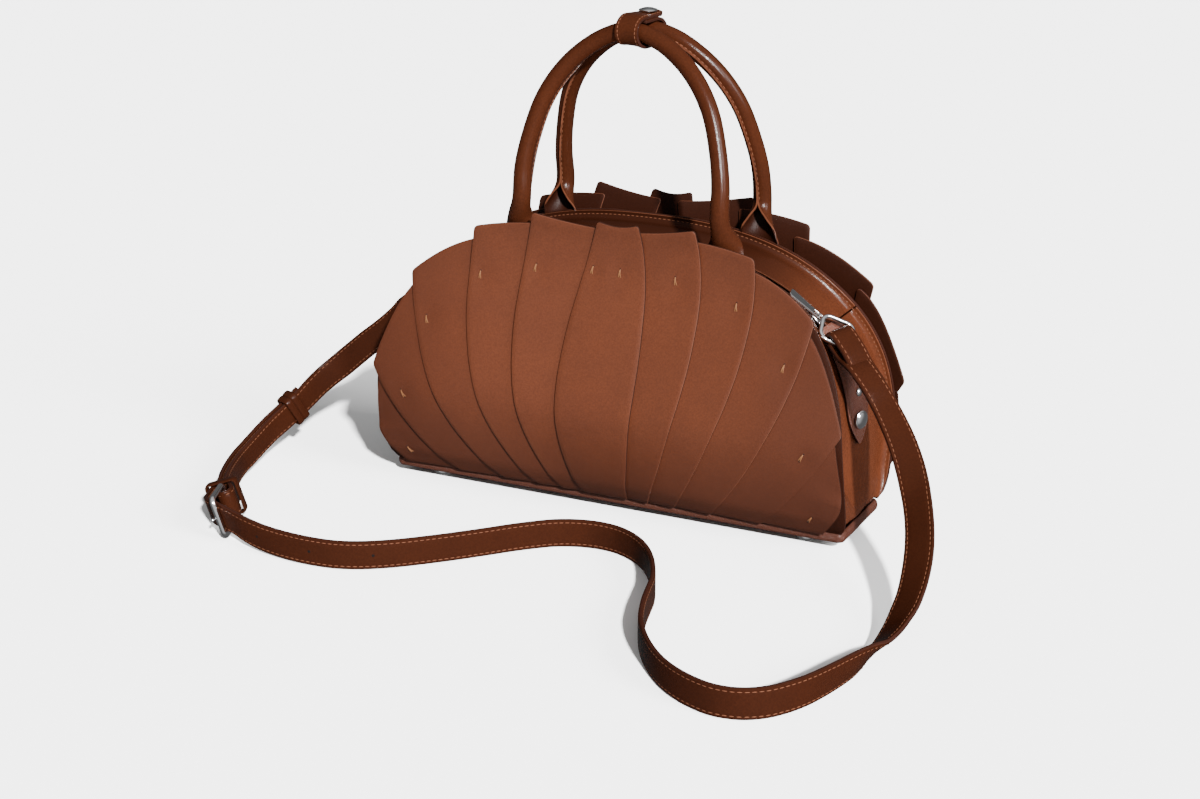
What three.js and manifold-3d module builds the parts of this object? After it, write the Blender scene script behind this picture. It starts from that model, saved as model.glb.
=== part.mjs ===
// Dome satchel in leather: a half-moon body under a fan of overlapping petals, two rolled
// handles, a zipped top and a buckled shoulder strap that lies on the floor.
// Millimetres, +Z up. X runs along the bag, Y from its front to its back, and the origin is on
// the floor under the middle of the base.
import * as THREE from 'three';
import Module from 'manifold-3d';

const wasm = await Module();
wasm.setup();

// Driving dimensions
const GAP = 0.4;
const LEATHER = { panel: 2, petal: 1.5, gusset: 1.5, tab: 2.2, strap: 3.2, keeper: 2 };
const FOOT = { x: 139, y: 23, radius: 5.5, height: 5.6 };
const BASE = { halfLength: 165, halfDepth: 32, corner: 5, bottom: 6, thick: 2.5 };
const WELT = { wide: 4, tall: 6.6, bottom: 6.2 };
const SEAM_Z = 13;
const DOME = { halfWidth: 173, shoulderZ: 35, rise: 161, widthPower: 2.4, risePower: 3.1 };
const LOW_CORNER = { x: 168, reach: 5, drop: 22 };
const SIDE_DRAW = 6;
const PETAL = { clear: 1.5, step: 2.3, footOverlap: 5, tipOverlap: 10, backRaise: 3.5, backFlare: 8 };
const FLANGE = { tall: 5, top: 0.8, shoulderIn: 8, shoulderSink: 6.5, lowSink: 3.1, clear: 0.8 };
const ZIP = { halfOpening: 4.5, tapeHalf: 9, tapeThick: 0.8, teethHalf: 2.6, teethTall: 2.2, seamX: 148 };
const TUBE = { radius: 6, sides: 10 };
const STRAP = { width: 19, flap: 31 };
const RING = { width: 25, height: 22, corner: 7, wire: 1.5, sides: 6 };
const BUCKLE = { height: 31, length: 28, corner: 6, wire: 2, sides: 6 };

// Half depth of the body at each height: it swells from the base to a belly and closes to the top
const DEPTH = [
  { z: 13, y: 36 },
  { z: 28, y: 47 },
  { z: 70, y: 59 },
  { z: 100, y: 55 },
  { z: 130, y: 45 },
  { z: 160, y: 34.5 },
  { z: 210, y: 27 },
];

// How far the petals stand off the panel, over the handle tabs and out at their tips
const LIFT = [
  { z: 110, out: 0 },
  { z: 150, out: 2.7 },
  { z: 175, out: 3.4 },
  { z: 190, out: 5.2 },
  { z: 198, out: 7.6 },
  { z: 207, out: 10.8 },
];

// Free edge of each petal on one side, from the centre petal outwards: where it leaves the base
// seam, the bow of the edge, its free corner, how far the corner leans to +X on the front and how
// much more on the back, the share of the next inner petal's edge that it is tucked under, how
// much its tip still stands off, how far the tip is scooped out and how hard the bow pulls
const PETAL_EDGES = [
  {
    footX: 16.5, bowX: 41, bowZ: 102, cornerX: 14.5, cornerZ: 204,
    lean: 9.5, backLean: -3, tuck: 1, tipRise: 1, scoop: 2.6,
  },
  {
    footX: 32, bowX: 81, bowZ: 106, cornerX: 58.5, cornerZ: 205,
    lean: 5.5, backLean: 2.5, tuck: 0.97, tipRise: 1, scoop: 1.2,
  },
  {
    footX: 51.5, bowX: 113.5, bowZ: 101, cornerX: 101.5, cornerZ: 190.5,
    lean: 2.5, backLean: 4.5, tuck: 0.96, tipRise: 1, scoop: -1.5,
  },
  {
    footX: 78, bowX: 135.5, bowZ: 76.5, cornerX: 147, cornerZ: 155,
    lean: 0, backLean: 8, tuck: 0.96, tipRise: 1, scoop: -5,
  },
  {
    footX: 114, bowX: 146.5, bowZ: 43, cornerX: 173, cornerZ: 88,
    lean: 0, backLean: 4, tuck: 0.985, tipRise: 1, scoop: -12,
  },
  {
    footX: 157, bowX: 174.5, bowZ: 35, cornerX: 168.5, cornerZ: 81,
    lean: 0, backLean: 4, tuck: 0.93, tipRise: 0, scoop: 0, pull: 4,
  },
];
const PETALS_PER_SIDE = PETAL_EDGES.length - 1;

// The crease of each gusset by height: how deep it is sunk, how far to the front it lies and how
// sharply the back of the gusset bends into it
const CREASE = [
  { z: 13, sink: 1.2, y: -6, sharp: 1.5 },
  { z: 30, sink: 9, y: -14, sharp: 2 },
  { z: 60, sink: 23, y: -18, sharp: 3 },
  { z: 110, sink: 24, y: -16, sharp: 4 },
  { z: 140, sink: 16, y: -8, sharp: 2.5 },
  { z: 155, sink: 14, y: 0, sharp: 1.3 },
  { z: 196, sink: 16, y: 0, sharp: 1.3 },
];

// Half of a handle from its tab to its top: distance from the middle, height, distance from the
// bag's mid-plane (0 lays it on the panel) and half sizes of its section
const HANDLE = [
  { reach: 74, z: 150, y: 0, wide: 9, thick: 1.1 },
  { reach: 74, z: 170, y: 0, wide: 11, thick: 1.1 },
  { reach: 74, z: 186, y: 0, wide: 9.5, thick: 1.1 },
  { reach: 74, z: 198, y: 33, wide: 6.5, thick: 3.2 },
  { reach: 73.5, z: 212, y: 34, wide: 6, thick: 6 },
  { reach: 73, z: 232, y: 30.5, wide: 6, thick: 6 },
  { reach: 69.5, z: 252, y: 25.5, wide: 6, thick: 6 },
  { reach: 62, z: 276, y: 19, wide: 6, thick: 6 },
  { reach: 51, z: 294, y: 14, wide: 6, thick: 6 },
  { reach: 37, z: 308, y: 10, wide: 6, thick: 6 },
  { reach: 20, z: 318.5, y: 7.4, wide: 6, thick: 6 },
  { reach: 0, z: 323, y: 6.7, wide: 6, thick: 6 },
];
const HANDLES = [
  { name: 'handle_front', side: -1, footShift: 6, topShift: 0, leftIn: 3.8 },
  { name: 'handle_back', side: 1, footShift: 6, topShift: 6, leftIn: 0 },
];

// Strap routes, chosen by hand: the centreline, how far the strap is still turned from standing
// on its edge (0) towards its place on the ring (1), and how far it leans out near the buckle
const LONG_ROUTE = [
  { x: 171, y: -16, z: 119.5, turn: 1 },
  { x: 186, y: -20.5, z: 103, turn: 0.9 },
  { x: 208, y: -38, z: 79, turn: 0.7 },
  { x: 225, y: -62, z: 56, turn: 0.55 },
  { x: 237, y: -92, z: 38, turn: 0.65 },
  { x: 243, y: -125, z: 22, turn: 0.68 },
  { x: 243, y: -150, z: 13, turn: 0.75 },
  { x: 242, y: -176, z: 10.2, turn: 0.85 },
  { x: 236, y: -211, z: 10.2, turn: 0.5 },
  { x: 221, y: -255, z: 10.2, turn: 0.15 },
  { x: 205, y: -275, z: 10.2, turn: 0 },
  { x: 187, y: -281, z: 10.2, turn: 0 },
  { x: 168, y: -277, z: 10.2, turn: 0 },
  { x: 147, y: -265, z: 10.2, turn: 0 },
  { x: 128, y: -246, z: 10.2, turn: 0 },
  { x: 111, y: -220, z: 10.2, turn: 0 },
  { x: 100, y: -191, z: 10.2, turn: 0 },
  { x: 91, y: -160, z: 10.2, turn: 0 },
  { x: 77, y: -133, z: 10.2, turn: 0 },
  { x: 61, y: -114, z: 10.2, turn: 0 },
  { x: 41, y: -102, z: 10.2, turn: 0 },
  { x: 22, y: -100, z: 10.2, turn: 0 },
  { x: 0, y: -107, z: 10.2, turn: 0 },
  { x: -21, y: -125, z: 10.2, turn: 0 },
  { x: -39, y: -145, z: 10.2, turn: 0 },
  { x: -62, y: -169, z: 10.2, turn: 0 },
  { x: -86, y: -190, z: 10.2, turn: 0 },
  { x: -109, y: -202, z: 10.2, turn: 0 },
  { x: -137, y: -206, z: 10.8, turn: 0 },
  { x: -166, y: -204, z: 12, turn: 0, lean: 0.1 },
  { x: -188, y: -199.5, z: 14.5, turn: 0, lean: 0.2 },
  { x: -201, y: -194.5, z: 15.8, turn: 0, lean: 0.3 },
  { x: -213.5, y: -191, z: 16.2, turn: 0, lean: 0.3 },
  { x: -223, y: -184, z: 14.6, turn: 0, lean: 0.3 },
  { x: -229, y: -173.5, z: 13.4, turn: 0, lean: 0.3 },
];
const SHORT_ROUTE = [
  { x: -173, y: -8.4, z: 119, turn: 0.6 },
  { x: -189, y: -8, z: 100.5, turn: 0.15 },
  { x: -211, y: -8, z: 82.5, turn: 0 },
  { x: -232, y: -10, z: 64.5, turn: 0 },
  { x: -243.3, y: -19, z: 53.5, turn: 0 },
  { x: -250.5, y: -30, z: 43, turn: 0 },
  { x: -255.5, y: -43, z: 34, turn: 0 },
  { x: -258.5, y: -57, z: 28, turn: 0 },
  { x: -259, y: -72, z: 23, turn: 0 },
  { x: -258.5, y: -86, z: 18.6, turn: 0 },
  { x: -256.5, y: -102, z: 15.3, turn: 0 },
  { x: -249, y: -121, z: 14.5, turn: 0, lean: 0.1 },
  { x: -237, y: -143, z: 15.5, turn: 0, lean: 0.2 },
  { x: -227.5, y: -158, z: 16.2, turn: 0, lean: 0.3 },
];
const LONG_STEPS = 78;
const SHORT_STEPS = 26;

// Materials
function leather(color, roughness) {
  return new THREE.MeshStandardMaterial({ color, roughness, metalness: 0 });
}

const petalLeather = leather(0x7a4328, 0.55);
const bodyLeather = leather(0x6b3519, 0.38);
const strapLeather = leather(0x63321b, 0.4);
const grainLeather = leather(0x6a3c2a, 0.6);
const nickel = new THREE.MeshStandardMaterial({ color: 0xc9c9cc, roughness: 0.15, metalness: 1 });

const bag = new THREE.Group();

function add(name, geometry, material) {
  const mesh = new THREE.Mesh(geometry, material);
  mesh.name = name;
  bag.add(mesh);
  return mesh;
}

// Helpers: smooth tables and closed solids

// Value of a table's column at a key, on a smooth curve through its rows
function along(table, key, column, at) {
  const last = table.length - 1;
  const here = THREE.MathUtils.clamp(at, table[0][key], table[last][key]);
  let row = 0;
  while (row < last - 1 && here > table[row + 1][key]) row += 1;
  const slope = (i) => {
    const low = table[Math.max(i - 1, 0)];
    const high = table[Math.min(i + 1, last)];
    return (high[column] - low[column]) / (high[key] - low[key]);
  };
  const from = table[row];
  const to = table[row + 1];
  const span = to[key] - from[key];
  const t = (here - from[key]) / span;
  return from[column] * (1 + 2 * t) * (1 - t) ** 2 + slope(row) * span * t * (1 - t) ** 2
    + to[column] * t * t * (3 - 2 * t) + slope(row + 1) * span * t * t * (t - 1);
}

// Closed geometry from corner points and triangles, turned to face out
function closedSolid(points, triangles) {
  let volume = 0;
  for (const [a, b, c] of triangles) {
    volume += points[a].dot(points[b].clone().cross(points[c]));
  }
  const order = volume < 0 ? triangles.map(([a, b, c]) => [a, c, b]) : triangles;
  const geometry = new THREE.BufferGeometry();
  const positions = points.flatMap((p) => p.toArray());
  geometry.setAttribute('position', new THREE.Float32BufferAttribute(positions, 3));
  geometry.setIndex(order.flat());
  return geometry;
}

// A sheet between two grids of points, closed round its border
function wall(outside, inside) {
  const rows = outside.length;
  const columns = outside[0].length;
  const points = [...outside.flat(), ...inside.flat()];
  const out = (r, c) => r * columns + c;
  const inner = (r, c) => rows * columns + out(r, c);
  const triangles = [];
  const quad = (a, b, c, d) => triangles.push([a, b, c], [a, c, d]);
  for (let r = 0; r < rows - 1; r += 1) {
    for (let c = 0; c < columns - 1; c += 1) {
      quad(out(r, c), out(r, c + 1), out(r + 1, c + 1), out(r + 1, c));
      quad(inner(r, c), inner(r + 1, c), inner(r + 1, c + 1), inner(r, c + 1));
    }
    quad(out(r, 0), out(r + 1, 0), inner(r + 1, 0), inner(r, 0));
    quad(out(r + 1, columns - 1), out(r, columns - 1), inner(r, columns - 1), inner(r + 1, columns - 1));
  }
  for (let c = 0; c < columns - 1; c += 1) {
    quad(out(0, c + 1), out(0, c), inner(0, c), inner(0, c + 1));
    quad(out(rows - 1, c), out(rows - 1, c + 1), inner(rows - 1, c + 1), inner(rows - 1, c));
  }
  return closedSolid(points, triangles);
}

// A flat outline carried along frames that hold a place and two directions
function sweep(outline, frames, isLoop = false) {
  const sides = outline.length;
  const points = frames.flatMap(({ at, across, up, wide = 1, thick = 1 }) => outline.map((p) => at.clone()
    .addScaledVector(across, p.x * wide)
    .addScaledVector(up, p.y * thick)));
  const triangles = [];
  const spans = isLoop ? frames.length : frames.length - 1;
  for (let f = 0; f < spans; f += 1) {
    const here = f * sides;
    const next = ((f + 1) % frames.length) * sides;
    for (let s = 0; s < sides; s += 1) {
      const t = (s + 1) % sides;
      triangles.push([here + s, here + t, next + t], [here + s, next + t, next + s]);
    }
  }
  if (!isLoop) {
    const end = (frames.length - 1) * sides;
    for (const [a, b, c] of THREE.ShapeUtils.triangulateShape(outline, [])) {
      const turned = THREE.ShapeUtils.isClockWise(outline) ? [a, b, c] : [a, c, b];
      triangles.push(turned);
      triangles.push([end + turned[0], end + turned[2], end + turned[1]]);
    }
  }
  return closedSolid(points, triangles);
}

function roundOutline(sides) {
  return Array.from({ length: sides }, (_, i) => {
    const angle = (2 * Math.PI * (i + 0.5)) / sides;
    return new THREE.Vector2(Math.cos(angle), Math.sin(angle));
  });
}

// Points round a rectangle with round corners
function roundedRectangle(width, height, corner, perCorner) {
  const points = [];
  const centres = [[1, 1], [-1, 1], [-1, -1], [1, -1]];
  centres.forEach(([sx, sy], turn) => {
    for (let i = 0; i <= perCorner; i += 1) {
      const angle = (Math.PI / 2) * (turn + i / perCorner);
      points.push(new THREE.Vector2(
        sx * (width / 2 - corner) + corner * Math.cos(angle),
        sy * (height / 2 - corner) + corner * Math.sin(angle),
      ));
    }
  });
  return points;
}

// A round wire bent into a rounded rectangle in the plane of two directions
function wireLoop({ width, height, corner, wire, sides }, centre, right, up) {
  const path = roundedRectangle(width - 2 * wire, height - 2 * wire, corner - wire, 3);
  const normal = right.clone().cross(up);
  const frames = path.map((p, i) => {
    const before = path[(i + path.length - 1) % path.length];
    const after = path[(i + 1) % path.length];
    const heading = after.clone().sub(before).normalize();
    return {
      at: centre.clone().addScaledVector(right, p.x).addScaledVector(up, p.y),
      across: right.clone().multiplyScalar(heading.y).addScaledVector(up, -heading.x),
      up: normal,
      wide: wire,
      thick: wire,
    };
  });
  return sweep(roundOutline(sides), frames, true);
}

function toSolid(geometry) {
  return new wasm.Manifold(new wasm.Mesh({
    numProp: 3,
    vertProperties: new Float32Array(geometry.attributes.position.array),
    triVerts: new Uint32Array(geometry.index.array),
  }));
}

function fromSolid(solid) {
  const { numProp, vertProperties, triVerts } = solid.getMesh();
  const geometry = new THREE.BufferGeometry();
  const positions = [];
  for (let i = 0; i < vertProperties.length; i += numProp) {
    positions.push(...vertProperties.slice(i, i + 3));
  }
  geometry.setAttribute('position', new THREE.Float32BufferAttribute(positions, 3));
  geometry.setIndex([...triVerts]);
  return geometry;
}

// A block in the axes of a frame, as a sweep of its rectangle
function block(frame, low, high) {
  const outline = [[low.x, low.z], [high.x, low.z], [high.x, high.z], [low.x, high.z]]
    .map(([x, y]) => new THREE.Vector2(x, y));
  const side = frame.up.clone().cross(frame.across);
  const ends = [low.y, high.y].map((y) => ({ ...frame, at: frame.at.clone().addScaledVector(side, y) }));
  return sweep(outline, ends);
}

// A turned piece whose axis points along a direction from its seat
function turned(profile, sides, seat, axis) {
  const geometry = new THREE.LatheGeometry(profile.map(([r, h]) => new THREE.Vector2(r, h)), sides);
  const turn = new THREE.Quaternion().setFromUnitVectors(new THREE.Vector3(0, 1, 0), axis);
  return geometry.applyQuaternion(turn).translate(seat.x, seat.y, seat.z);
}

// Body: the outline of the panels, and the depth of the body at each place

function halfWidthAt(z) {
  if (z < DOME.shoulderZ) {
    const down = (DOME.shoulderZ - z) / LOW_CORNER.drop;
    return LOW_CORNER.x + LOW_CORNER.reach * Math.sqrt(Math.max(0, 1 - down * down));
  }
  const up = (z - DOME.shoulderZ) / DOME.rise;
  return DOME.halfWidth * Math.max(0, 1 - up ** DOME.risePower) ** (1 / DOME.widthPower);
}

function depthAt(x, z) {
  const depth = along(DEPTH, 'z', 'y', z);
  const swell = THREE.MathUtils.clamp((depth - DEPTH[0].y) / (DEPTH[2].y - DEPTH[0].y), 0, 1);
  return depth - SIDE_DRAW * swell * (x / DOME.halfWidth) ** 4;
}

const PANEL_LEVELS = [13, 17, 23, 30, 38, 50, 64, 80, 96, 112, 128, 144, 158, 170, 180, 187, 192, 195];
const PANEL_COLUMNS = 10;

function panel(side) {
  const face = (inset) => PANEL_LEVELS.map((z) => Array.from({ length: PANEL_COLUMNS + 1 }, (_, c) => {
    const x = halfWidthAt(z) * (2 * c / PANEL_COLUMNS - 1);
    return new THREE.Vector3(x, side * (depthAt(x, z) - inset), z);
  }));
  return wall(face(0), face(LEATHER.panel));
}

add('front_panel', panel(-1), bodyLeather);
add('back_panel', panel(1), bodyLeather);

// Base: a stiff slab inside a rolled welt, on four feet

function baseOutline(grow, perCorner) {
  const length = 2 * (BASE.halfLength + grow);
  const depth = 2 * (BASE.halfDepth + grow);
  return roundedRectangle(length, depth, BASE.corner + grow, perCorner);
}

const flat = { across: new THREE.Vector3(1, 0, 0), up: new THREE.Vector3(0, 1, 0) };
const slabEnds = [BASE.bottom, BASE.bottom + BASE.thick]
  .map((z) => ({ ...flat, at: new THREE.Vector3(0, 0, z) }));
add('base_panel', sweep(baseOutline(0, 4), slabEnds), grainLeather);

const weltPath = baseOutline(GAP + WELT.wide / 2, 4);
const weltFrames = weltPath.map((p, i) => {
  const before = weltPath[(i + weltPath.length - 1) % weltPath.length];
  const after = weltPath[(i + 1) % weltPath.length];
  const heading = after.clone().sub(before).normalize();
  return {
    at: new THREE.Vector3(p.x, p.y, WELT.bottom + WELT.tall / 2),
    across: new THREE.Vector3(heading.y, -heading.x, 0),
    up: new THREE.Vector3(0, 0, 1),
    wide: WELT.wide / 2,
    thick: WELT.tall / 2,
  };
});
add('base_welt', sweep(roundOutline(8), weltFrames, true), grainLeather);

[[-1, -1], [1, -1], [-1, 1], [1, 1]].forEach(([sx, sy], i) => {
  const profile = [[0, 0], [3.4, 0], [FOOT.radius, 2], [4.8, 4.2], [3.4, FOOT.height], [0, FOOT.height]];
  const seat = new THREE.Vector3(sx * FOOT.x, sy * FOOT.y, 0);
  add(`foot_${i + 1}`, turned(profile, 10, seat, new THREE.Vector3(0, 0, 1)), nickel);
});

// Gusset: the band between the panels, with a raised seam flange along both edges

const rim = (() => {
  const points = [];
  for (let i = 0; i < 6; i += 1) {
    const angle = (Math.PI / 2) * (i / 6 - 1);
    points.push(new THREE.Vector3(
      LOW_CORNER.x + LOW_CORNER.reach * Math.cos(angle),
      0,
      DOME.shoulderZ + LOW_CORNER.drop * Math.sin(angle),
    ));
  }
  for (let i = 0; i <= 30; i += 1) {
    const angle = (Math.PI / 2) * (i / 30);
    points.push(new THREE.Vector3(
      DOME.halfWidth * Math.cos(angle) ** (2 / DOME.widthPower),
      0,
      DOME.shoulderZ + DOME.rise * Math.sin(angle) ** (2 / DOME.risePower),
    ));
  }
  const left = points.slice(0, -1).reverse().map((p) => new THREE.Vector3(-p.x, 0, p.z));
  return new THREE.CatmullRomCurve3([...points, ...left], false, 'centripetal');
})();
rim.arcLengthDivisions = 600;

// Place on the rim, its outward normal and the body's inner half depth there
function rimFrame(s) {
  const at = rim.getPointAt(s);
  const heading = rim.getTangentAt(s);
  const normal = new THREE.Vector3(heading.z, 0, -heading.x);
  return { at, normal, half: depthAt(at.x, at.z) - LEATHER.panel - FLANGE.clear };
}

// A point of the gusset at a place along the rim, across the bag and below the rim
function gussetPoint(frame, y, sink) {
  return new THREE.Vector3(frame.at.x, y, frame.at.z).addScaledVector(frame.normal, -sink);
}

// Depth of the gusset's shoulders below the rim, which comes to little at the base
function shoulderSinkAt(frame) {
  const up = THREE.MathUtils.smoothstep(frame.at.z, 13, 38);
  return THREE.MathUtils.lerp(FLANGE.lowSink, FLANGE.shoulderSink, up);
}

// Depth of the gusset's outer face below the rim at a distance y from the mid-plane
function gussetSink(frame, y) {
  const crease = along(CREASE, 'z', 'y', frame.at.z);
  const sink = along(CREASE, 'z', 'sink', frame.at.z);
  const shoulder = frame.half - FLANGE.shoulderIn;
  const share = y < crease ? (y + shoulder) / (crease + shoulder) : (shoulder - y) / (shoulder - crease);
  const sharp = y < crease ? 1 : along(CREASE, 'z', 'sharp', frame.at.z);
  return THREE.MathUtils.lerp(shoulderSinkAt(frame), sink, THREE.MathUtils.clamp(share, 0, 1) ** sharp);
}

// Rows of a gusset piece: the flange of each edge it has, then the band at the listed shares
function gussetPiece(stations, shares, hasFront, hasBack) {
  const outside = [];
  const inside = [];
  for (const s of stations) {
    const frame = rimFrame(s);
    const shoulder = frame.half - FLANGE.shoulderIn;
    const crease = along(CREASE, 'z', 'y', frame.at.z);
    const tall = FLANGE.tall + shoulderSinkAt(frame) - FLANGE.shoulderSink;
    const top = Math.min(FLANGE.top, tall - 0.8);
    const face = (inset) => {
      const flange = (side) => [
        gussetPoint(frame, side * (frame.half - (inset ? 0 : LEATHER.gusset)), top),
        gussetPoint(frame, side * (frame.half - (inset ? 0 : LEATHER.gusset)), tall + inset),
      ];
      const band = shares(frame, shoulder, crease)
        .map((y) => gussetPoint(frame, y, gussetSink(frame, y) + inset));
      const front = hasFront ? flange(-1) : [];
      const back = hasBack ? flange(1).reverse() : [];
      return [...front, ...band, ...back];
    };
    outside.push(face(0));
    inside.push(face(LEATHER.gusset));
  }
  return wall(outside, inside);
}

function stationsBetween(from, to, steps) {
  return Array.from({ length: steps + 1 }, (_, i) => from + ((to - from) * i) / steps);
}

// Share of the rim's length, from the right end, at which it first comes in to a given X
function rimShareAtX(x) {
  let s = 0;
  while (rim.getPointAt(s).x > x || rim.getPointAt(s).z < DOME.shoulderZ) s += 0.001;
  return s;
}

const seamShare = rimShareAtX(ZIP.seamX);
const seamGap = 0.001;
const topStations = stationsBetween(seamShare + seamGap, 1 - seamShare - seamGap, 20);
const sideStations = stationsBetween(0.004, seamShare - seamGap, 12);

const SIDE_SHARES = [0, 0.12, 0.3, 0.55, 1];
const sideBand = (frame, shoulder, crease) => [-shoulder, (crease - shoulder) / 2,
  ...SIDE_SHARES.map((share) => crease + share * (shoulder - crease))];
add('gusset_right', gussetPiece(sideStations, sideBand, true, true), bodyLeather);
add('gusset_left', gussetPiece(sideStations.map((s) => 1 - s), sideBand, true, true), bodyLeather);

const frontBand = (frame, shoulder) => [-shoulder, -shoulder / 2, -ZIP.halfOpening];
const backBand = (frame, shoulder) => [ZIP.halfOpening, shoulder / 2, shoulder];
add('zip_strip_front', gussetPiece(topStations, frontBand, true, false), bodyLeather);
add('zip_strip_back', gussetPiece(topStations, backBand, false, true), bodyLeather);

// Zip: a chain on its tape under the strips, with a slider near the right end

const zipTop = -(GAP + LEATHER.gusset);
const zipSection = [
  [-ZIP.tapeHalf, zipTop - ZIP.tapeThick], [ZIP.tapeHalf, zipTop - ZIP.tapeThick], [ZIP.tapeHalf, zipTop],
  [ZIP.teethHalf, zipTop], [ZIP.teethHalf, zipTop + ZIP.teethTall], [-ZIP.teethHalf, zipTop + ZIP.teethTall],
  [-ZIP.teethHalf, zipTop], [-ZIP.tapeHalf, zipTop],
].map(([x, y]) => new THREE.Vector2(x, y));

function zipFrame(s) {
  const frame = rimFrame(s);
  return {
    at: gussetPoint(frame, 0, gussetSink(frame, 0)),
    across: new THREE.Vector3(0, 1, 0),
    up: frame.normal,
  };
}

const zipShare = seamShare + 0.012;
const zipFrames = stationsBetween(zipShare, 1 - zipShare, 20).map(zipFrame);
add('zip_chain', sweep(zipSection, zipFrames), nickel);

// Slider and pull, near the right end of the zip

const SLIDER = { rimX: 142.4, halfLength: 4.8, halfWidth: 3.4, low: 0.7, high: 2.7 };
const STAPLE = { half: 3.6, legIn: 2.3, halfWidth: 0.7, under: 5.5, top: 6.7 };
const PULL = {
  barAt: 1, barUp: 4.4, thick: 1.2, eyeLength: 5.6, halfEye: 2.3, halfWide: 3.5, length: 25, halfTip: 4.6,
};
const PULL_DROP = THREE.MathUtils.degToRad(5);
const PULL_TURN = THREE.MathUtils.degToRad(14);

const sliderShare = rimShareAtX(SLIDER.rimX);
const sliderFrame = zipFrame(sliderShare);
const sliderBody = [
  block(
    sliderFrame,
    new THREE.Vector3(-SLIDER.halfWidth, -SLIDER.halfLength, SLIDER.low),
    new THREE.Vector3(SLIDER.halfWidth, SLIDER.halfLength, SLIDER.high),
  ),
  block(
    sliderFrame,
    new THREE.Vector3(-STAPLE.halfWidth, -STAPLE.half, SLIDER.low + GAP),
    new THREE.Vector3(STAPLE.halfWidth, STAPLE.half, STAPLE.top),
  ),
].map(toSolid);
const stapleEye = block(
  sliderFrame,
  new THREE.Vector3(-SLIDER.halfWidth, -STAPLE.legIn, SLIDER.high),
  new THREE.Vector3(SLIDER.halfWidth, STAPLE.legIn, STAPLE.under),
);
add('zip_slider', fromSolid(sliderBody[0].add(sliderBody[1]).subtract(toSolid(stapleEye))), nickel);

// The pull's outline in its own plane, with the bar of its eye along the hinge
const pullOutline = new THREE.Shape([
  [-PULL.halfWide, -PULL.thick / 2], [PULL.halfWide, -PULL.thick / 2], [PULL.halfWide, PULL.eyeLength],
  [PULL.halfTip, PULL.length - 1.5], [PULL.halfTip - 1.5, PULL.length],
  [1.5 - PULL.halfTip, PULL.length], [-PULL.halfTip, PULL.length - 1.5], [-PULL.halfWide, PULL.eyeLength],
].map(([x, y]) => new THREE.Vector2(x, y)));
pullOutline.holes.push(new THREE.Path([
  [-PULL.halfEye, PULL.thick / 2], [-PULL.halfEye, PULL.eyeLength - 0.8],
  [PULL.halfEye, PULL.eyeLength - 0.8], [PULL.halfEye, PULL.thick / 2],
].map(([x, y]) => new THREE.Vector2(x, y))));
const pullPlate = new THREE.ExtrudeGeometry(pullOutline, { depth: PULL.thick, bevelEnabled: false, steps: 1 })
  .translate(0, 0, -PULL.thick / 2);
const zipHeading = sliderFrame.up.clone().cross(sliderFrame.across);
const pull = add('zip_pull', pullPlate, nickel);
pull.quaternion.setFromRotationMatrix(new THREE.Matrix4().makeBasis(
  sliderFrame.across,
  zipHeading,
  sliderFrame.up,
));
pull.rotateZ(PULL_TURN);
pull.rotateX(-PULL_DROP);
pull.position.copy(sliderFrame.at)
  .addScaledVector(zipHeading, PULL.barAt)
  .addScaledVector(sliderFrame.up, PULL.barUp);

// Petals: each is tucked under the next one towards the middle, and the middle one lies on top

const PETAL_ROWS = 9;
const FOOT_CROWDING = 1.3;
const PETAL_SHARES = [0, 0.35, 0.7, 1];

function edgePoint(row, side, face, t) {
  const weights = [(1 - t) ** 2, 2 * (row.pull ?? 1) * t * (1 - t), t * t];
  const sum = weights[0] + weights[1] + weights[2];
  const bend = (foot, bow, corner) => (foot * weights[0] + bow * weights[1] + corner * weights[2]) / sum;
  const lean = row.lean + (face > 0 ? row.backLean : 0);
  const raise = face > 0 ? PETAL.backRaise : 0;
  const x = side * bend(row.footX, row.bowX, row.cornerX) + lean * t * t;
  return new THREE.Vector2(x, bend(SEAM_Z, row.bowZ, row.cornerZ + raise));
}

function petal(index, face) {
  const side = Math.sign(index) || 1;
  const own = PETAL_EDGES[Math.abs(index)];
  const isMiddle = index === 0;
  const over = isMiddle ? own : PETAL_EDGES[Math.abs(index) - 1];
  const grid = (inset) => Array.from({ length: PETAL_ROWS + 1 }, (_, r) => {
    const t = (r / PETAL_ROWS) ** FOOT_CROWDING;
    const free = edgePoint(own, side, face, t);
    const tucked = edgePoint(over, isMiddle ? -side : side, face, t * own.tuck);
    if (!isMiddle) tucked.x -= side * THREE.MathUtils.lerp(PETAL.footOverlap, PETAL.tipOverlap, t);
    return PETAL_SHARES.map((share) => {
      const place = tucked.clone().lerp(free, share);
      place.y -= own.scoop * 4 * share * (1 - share) * THREE.MathUtils.smoothstep(t, 0.8, 1);
      const flare = face > 0 ? PETAL.backFlare * THREE.MathUtils.smoothstep(place.y, 90, 200) : 0;
      const slip = (1 - own.tipRise) * THREE.MathUtils.smoothstep(t, 0.5, 0.8);
      const rise = isMiddle || share > 0.5 ? PETAL.step * (1 - slip) : 0;
      const out = depthAt(place.x, place.y) + PETAL.clear + along(LIFT, 'z', 'out', place.y) + rise + flare;
      return new THREE.Vector3(place.x, face * (out + LEATHER.petal - inset), place.y);
    });
  });
  return wall(grid(0), grid(LEATHER.petal));
}

for (const [name, face] of [['front', -1], ['back', 1]]) {
  for (let index = -PETALS_PER_SIDE; index <= PETALS_PER_SIDE; index += 1) {
    add(`${name}_petal_${index + PETALS_PER_SIDE + 1}`, petal(index, face), petalLeather);
  }
}

// Handles: rolled tubes that flatten into tabs between panel and petals

const HANDLE_FRAMES = 33;

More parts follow.
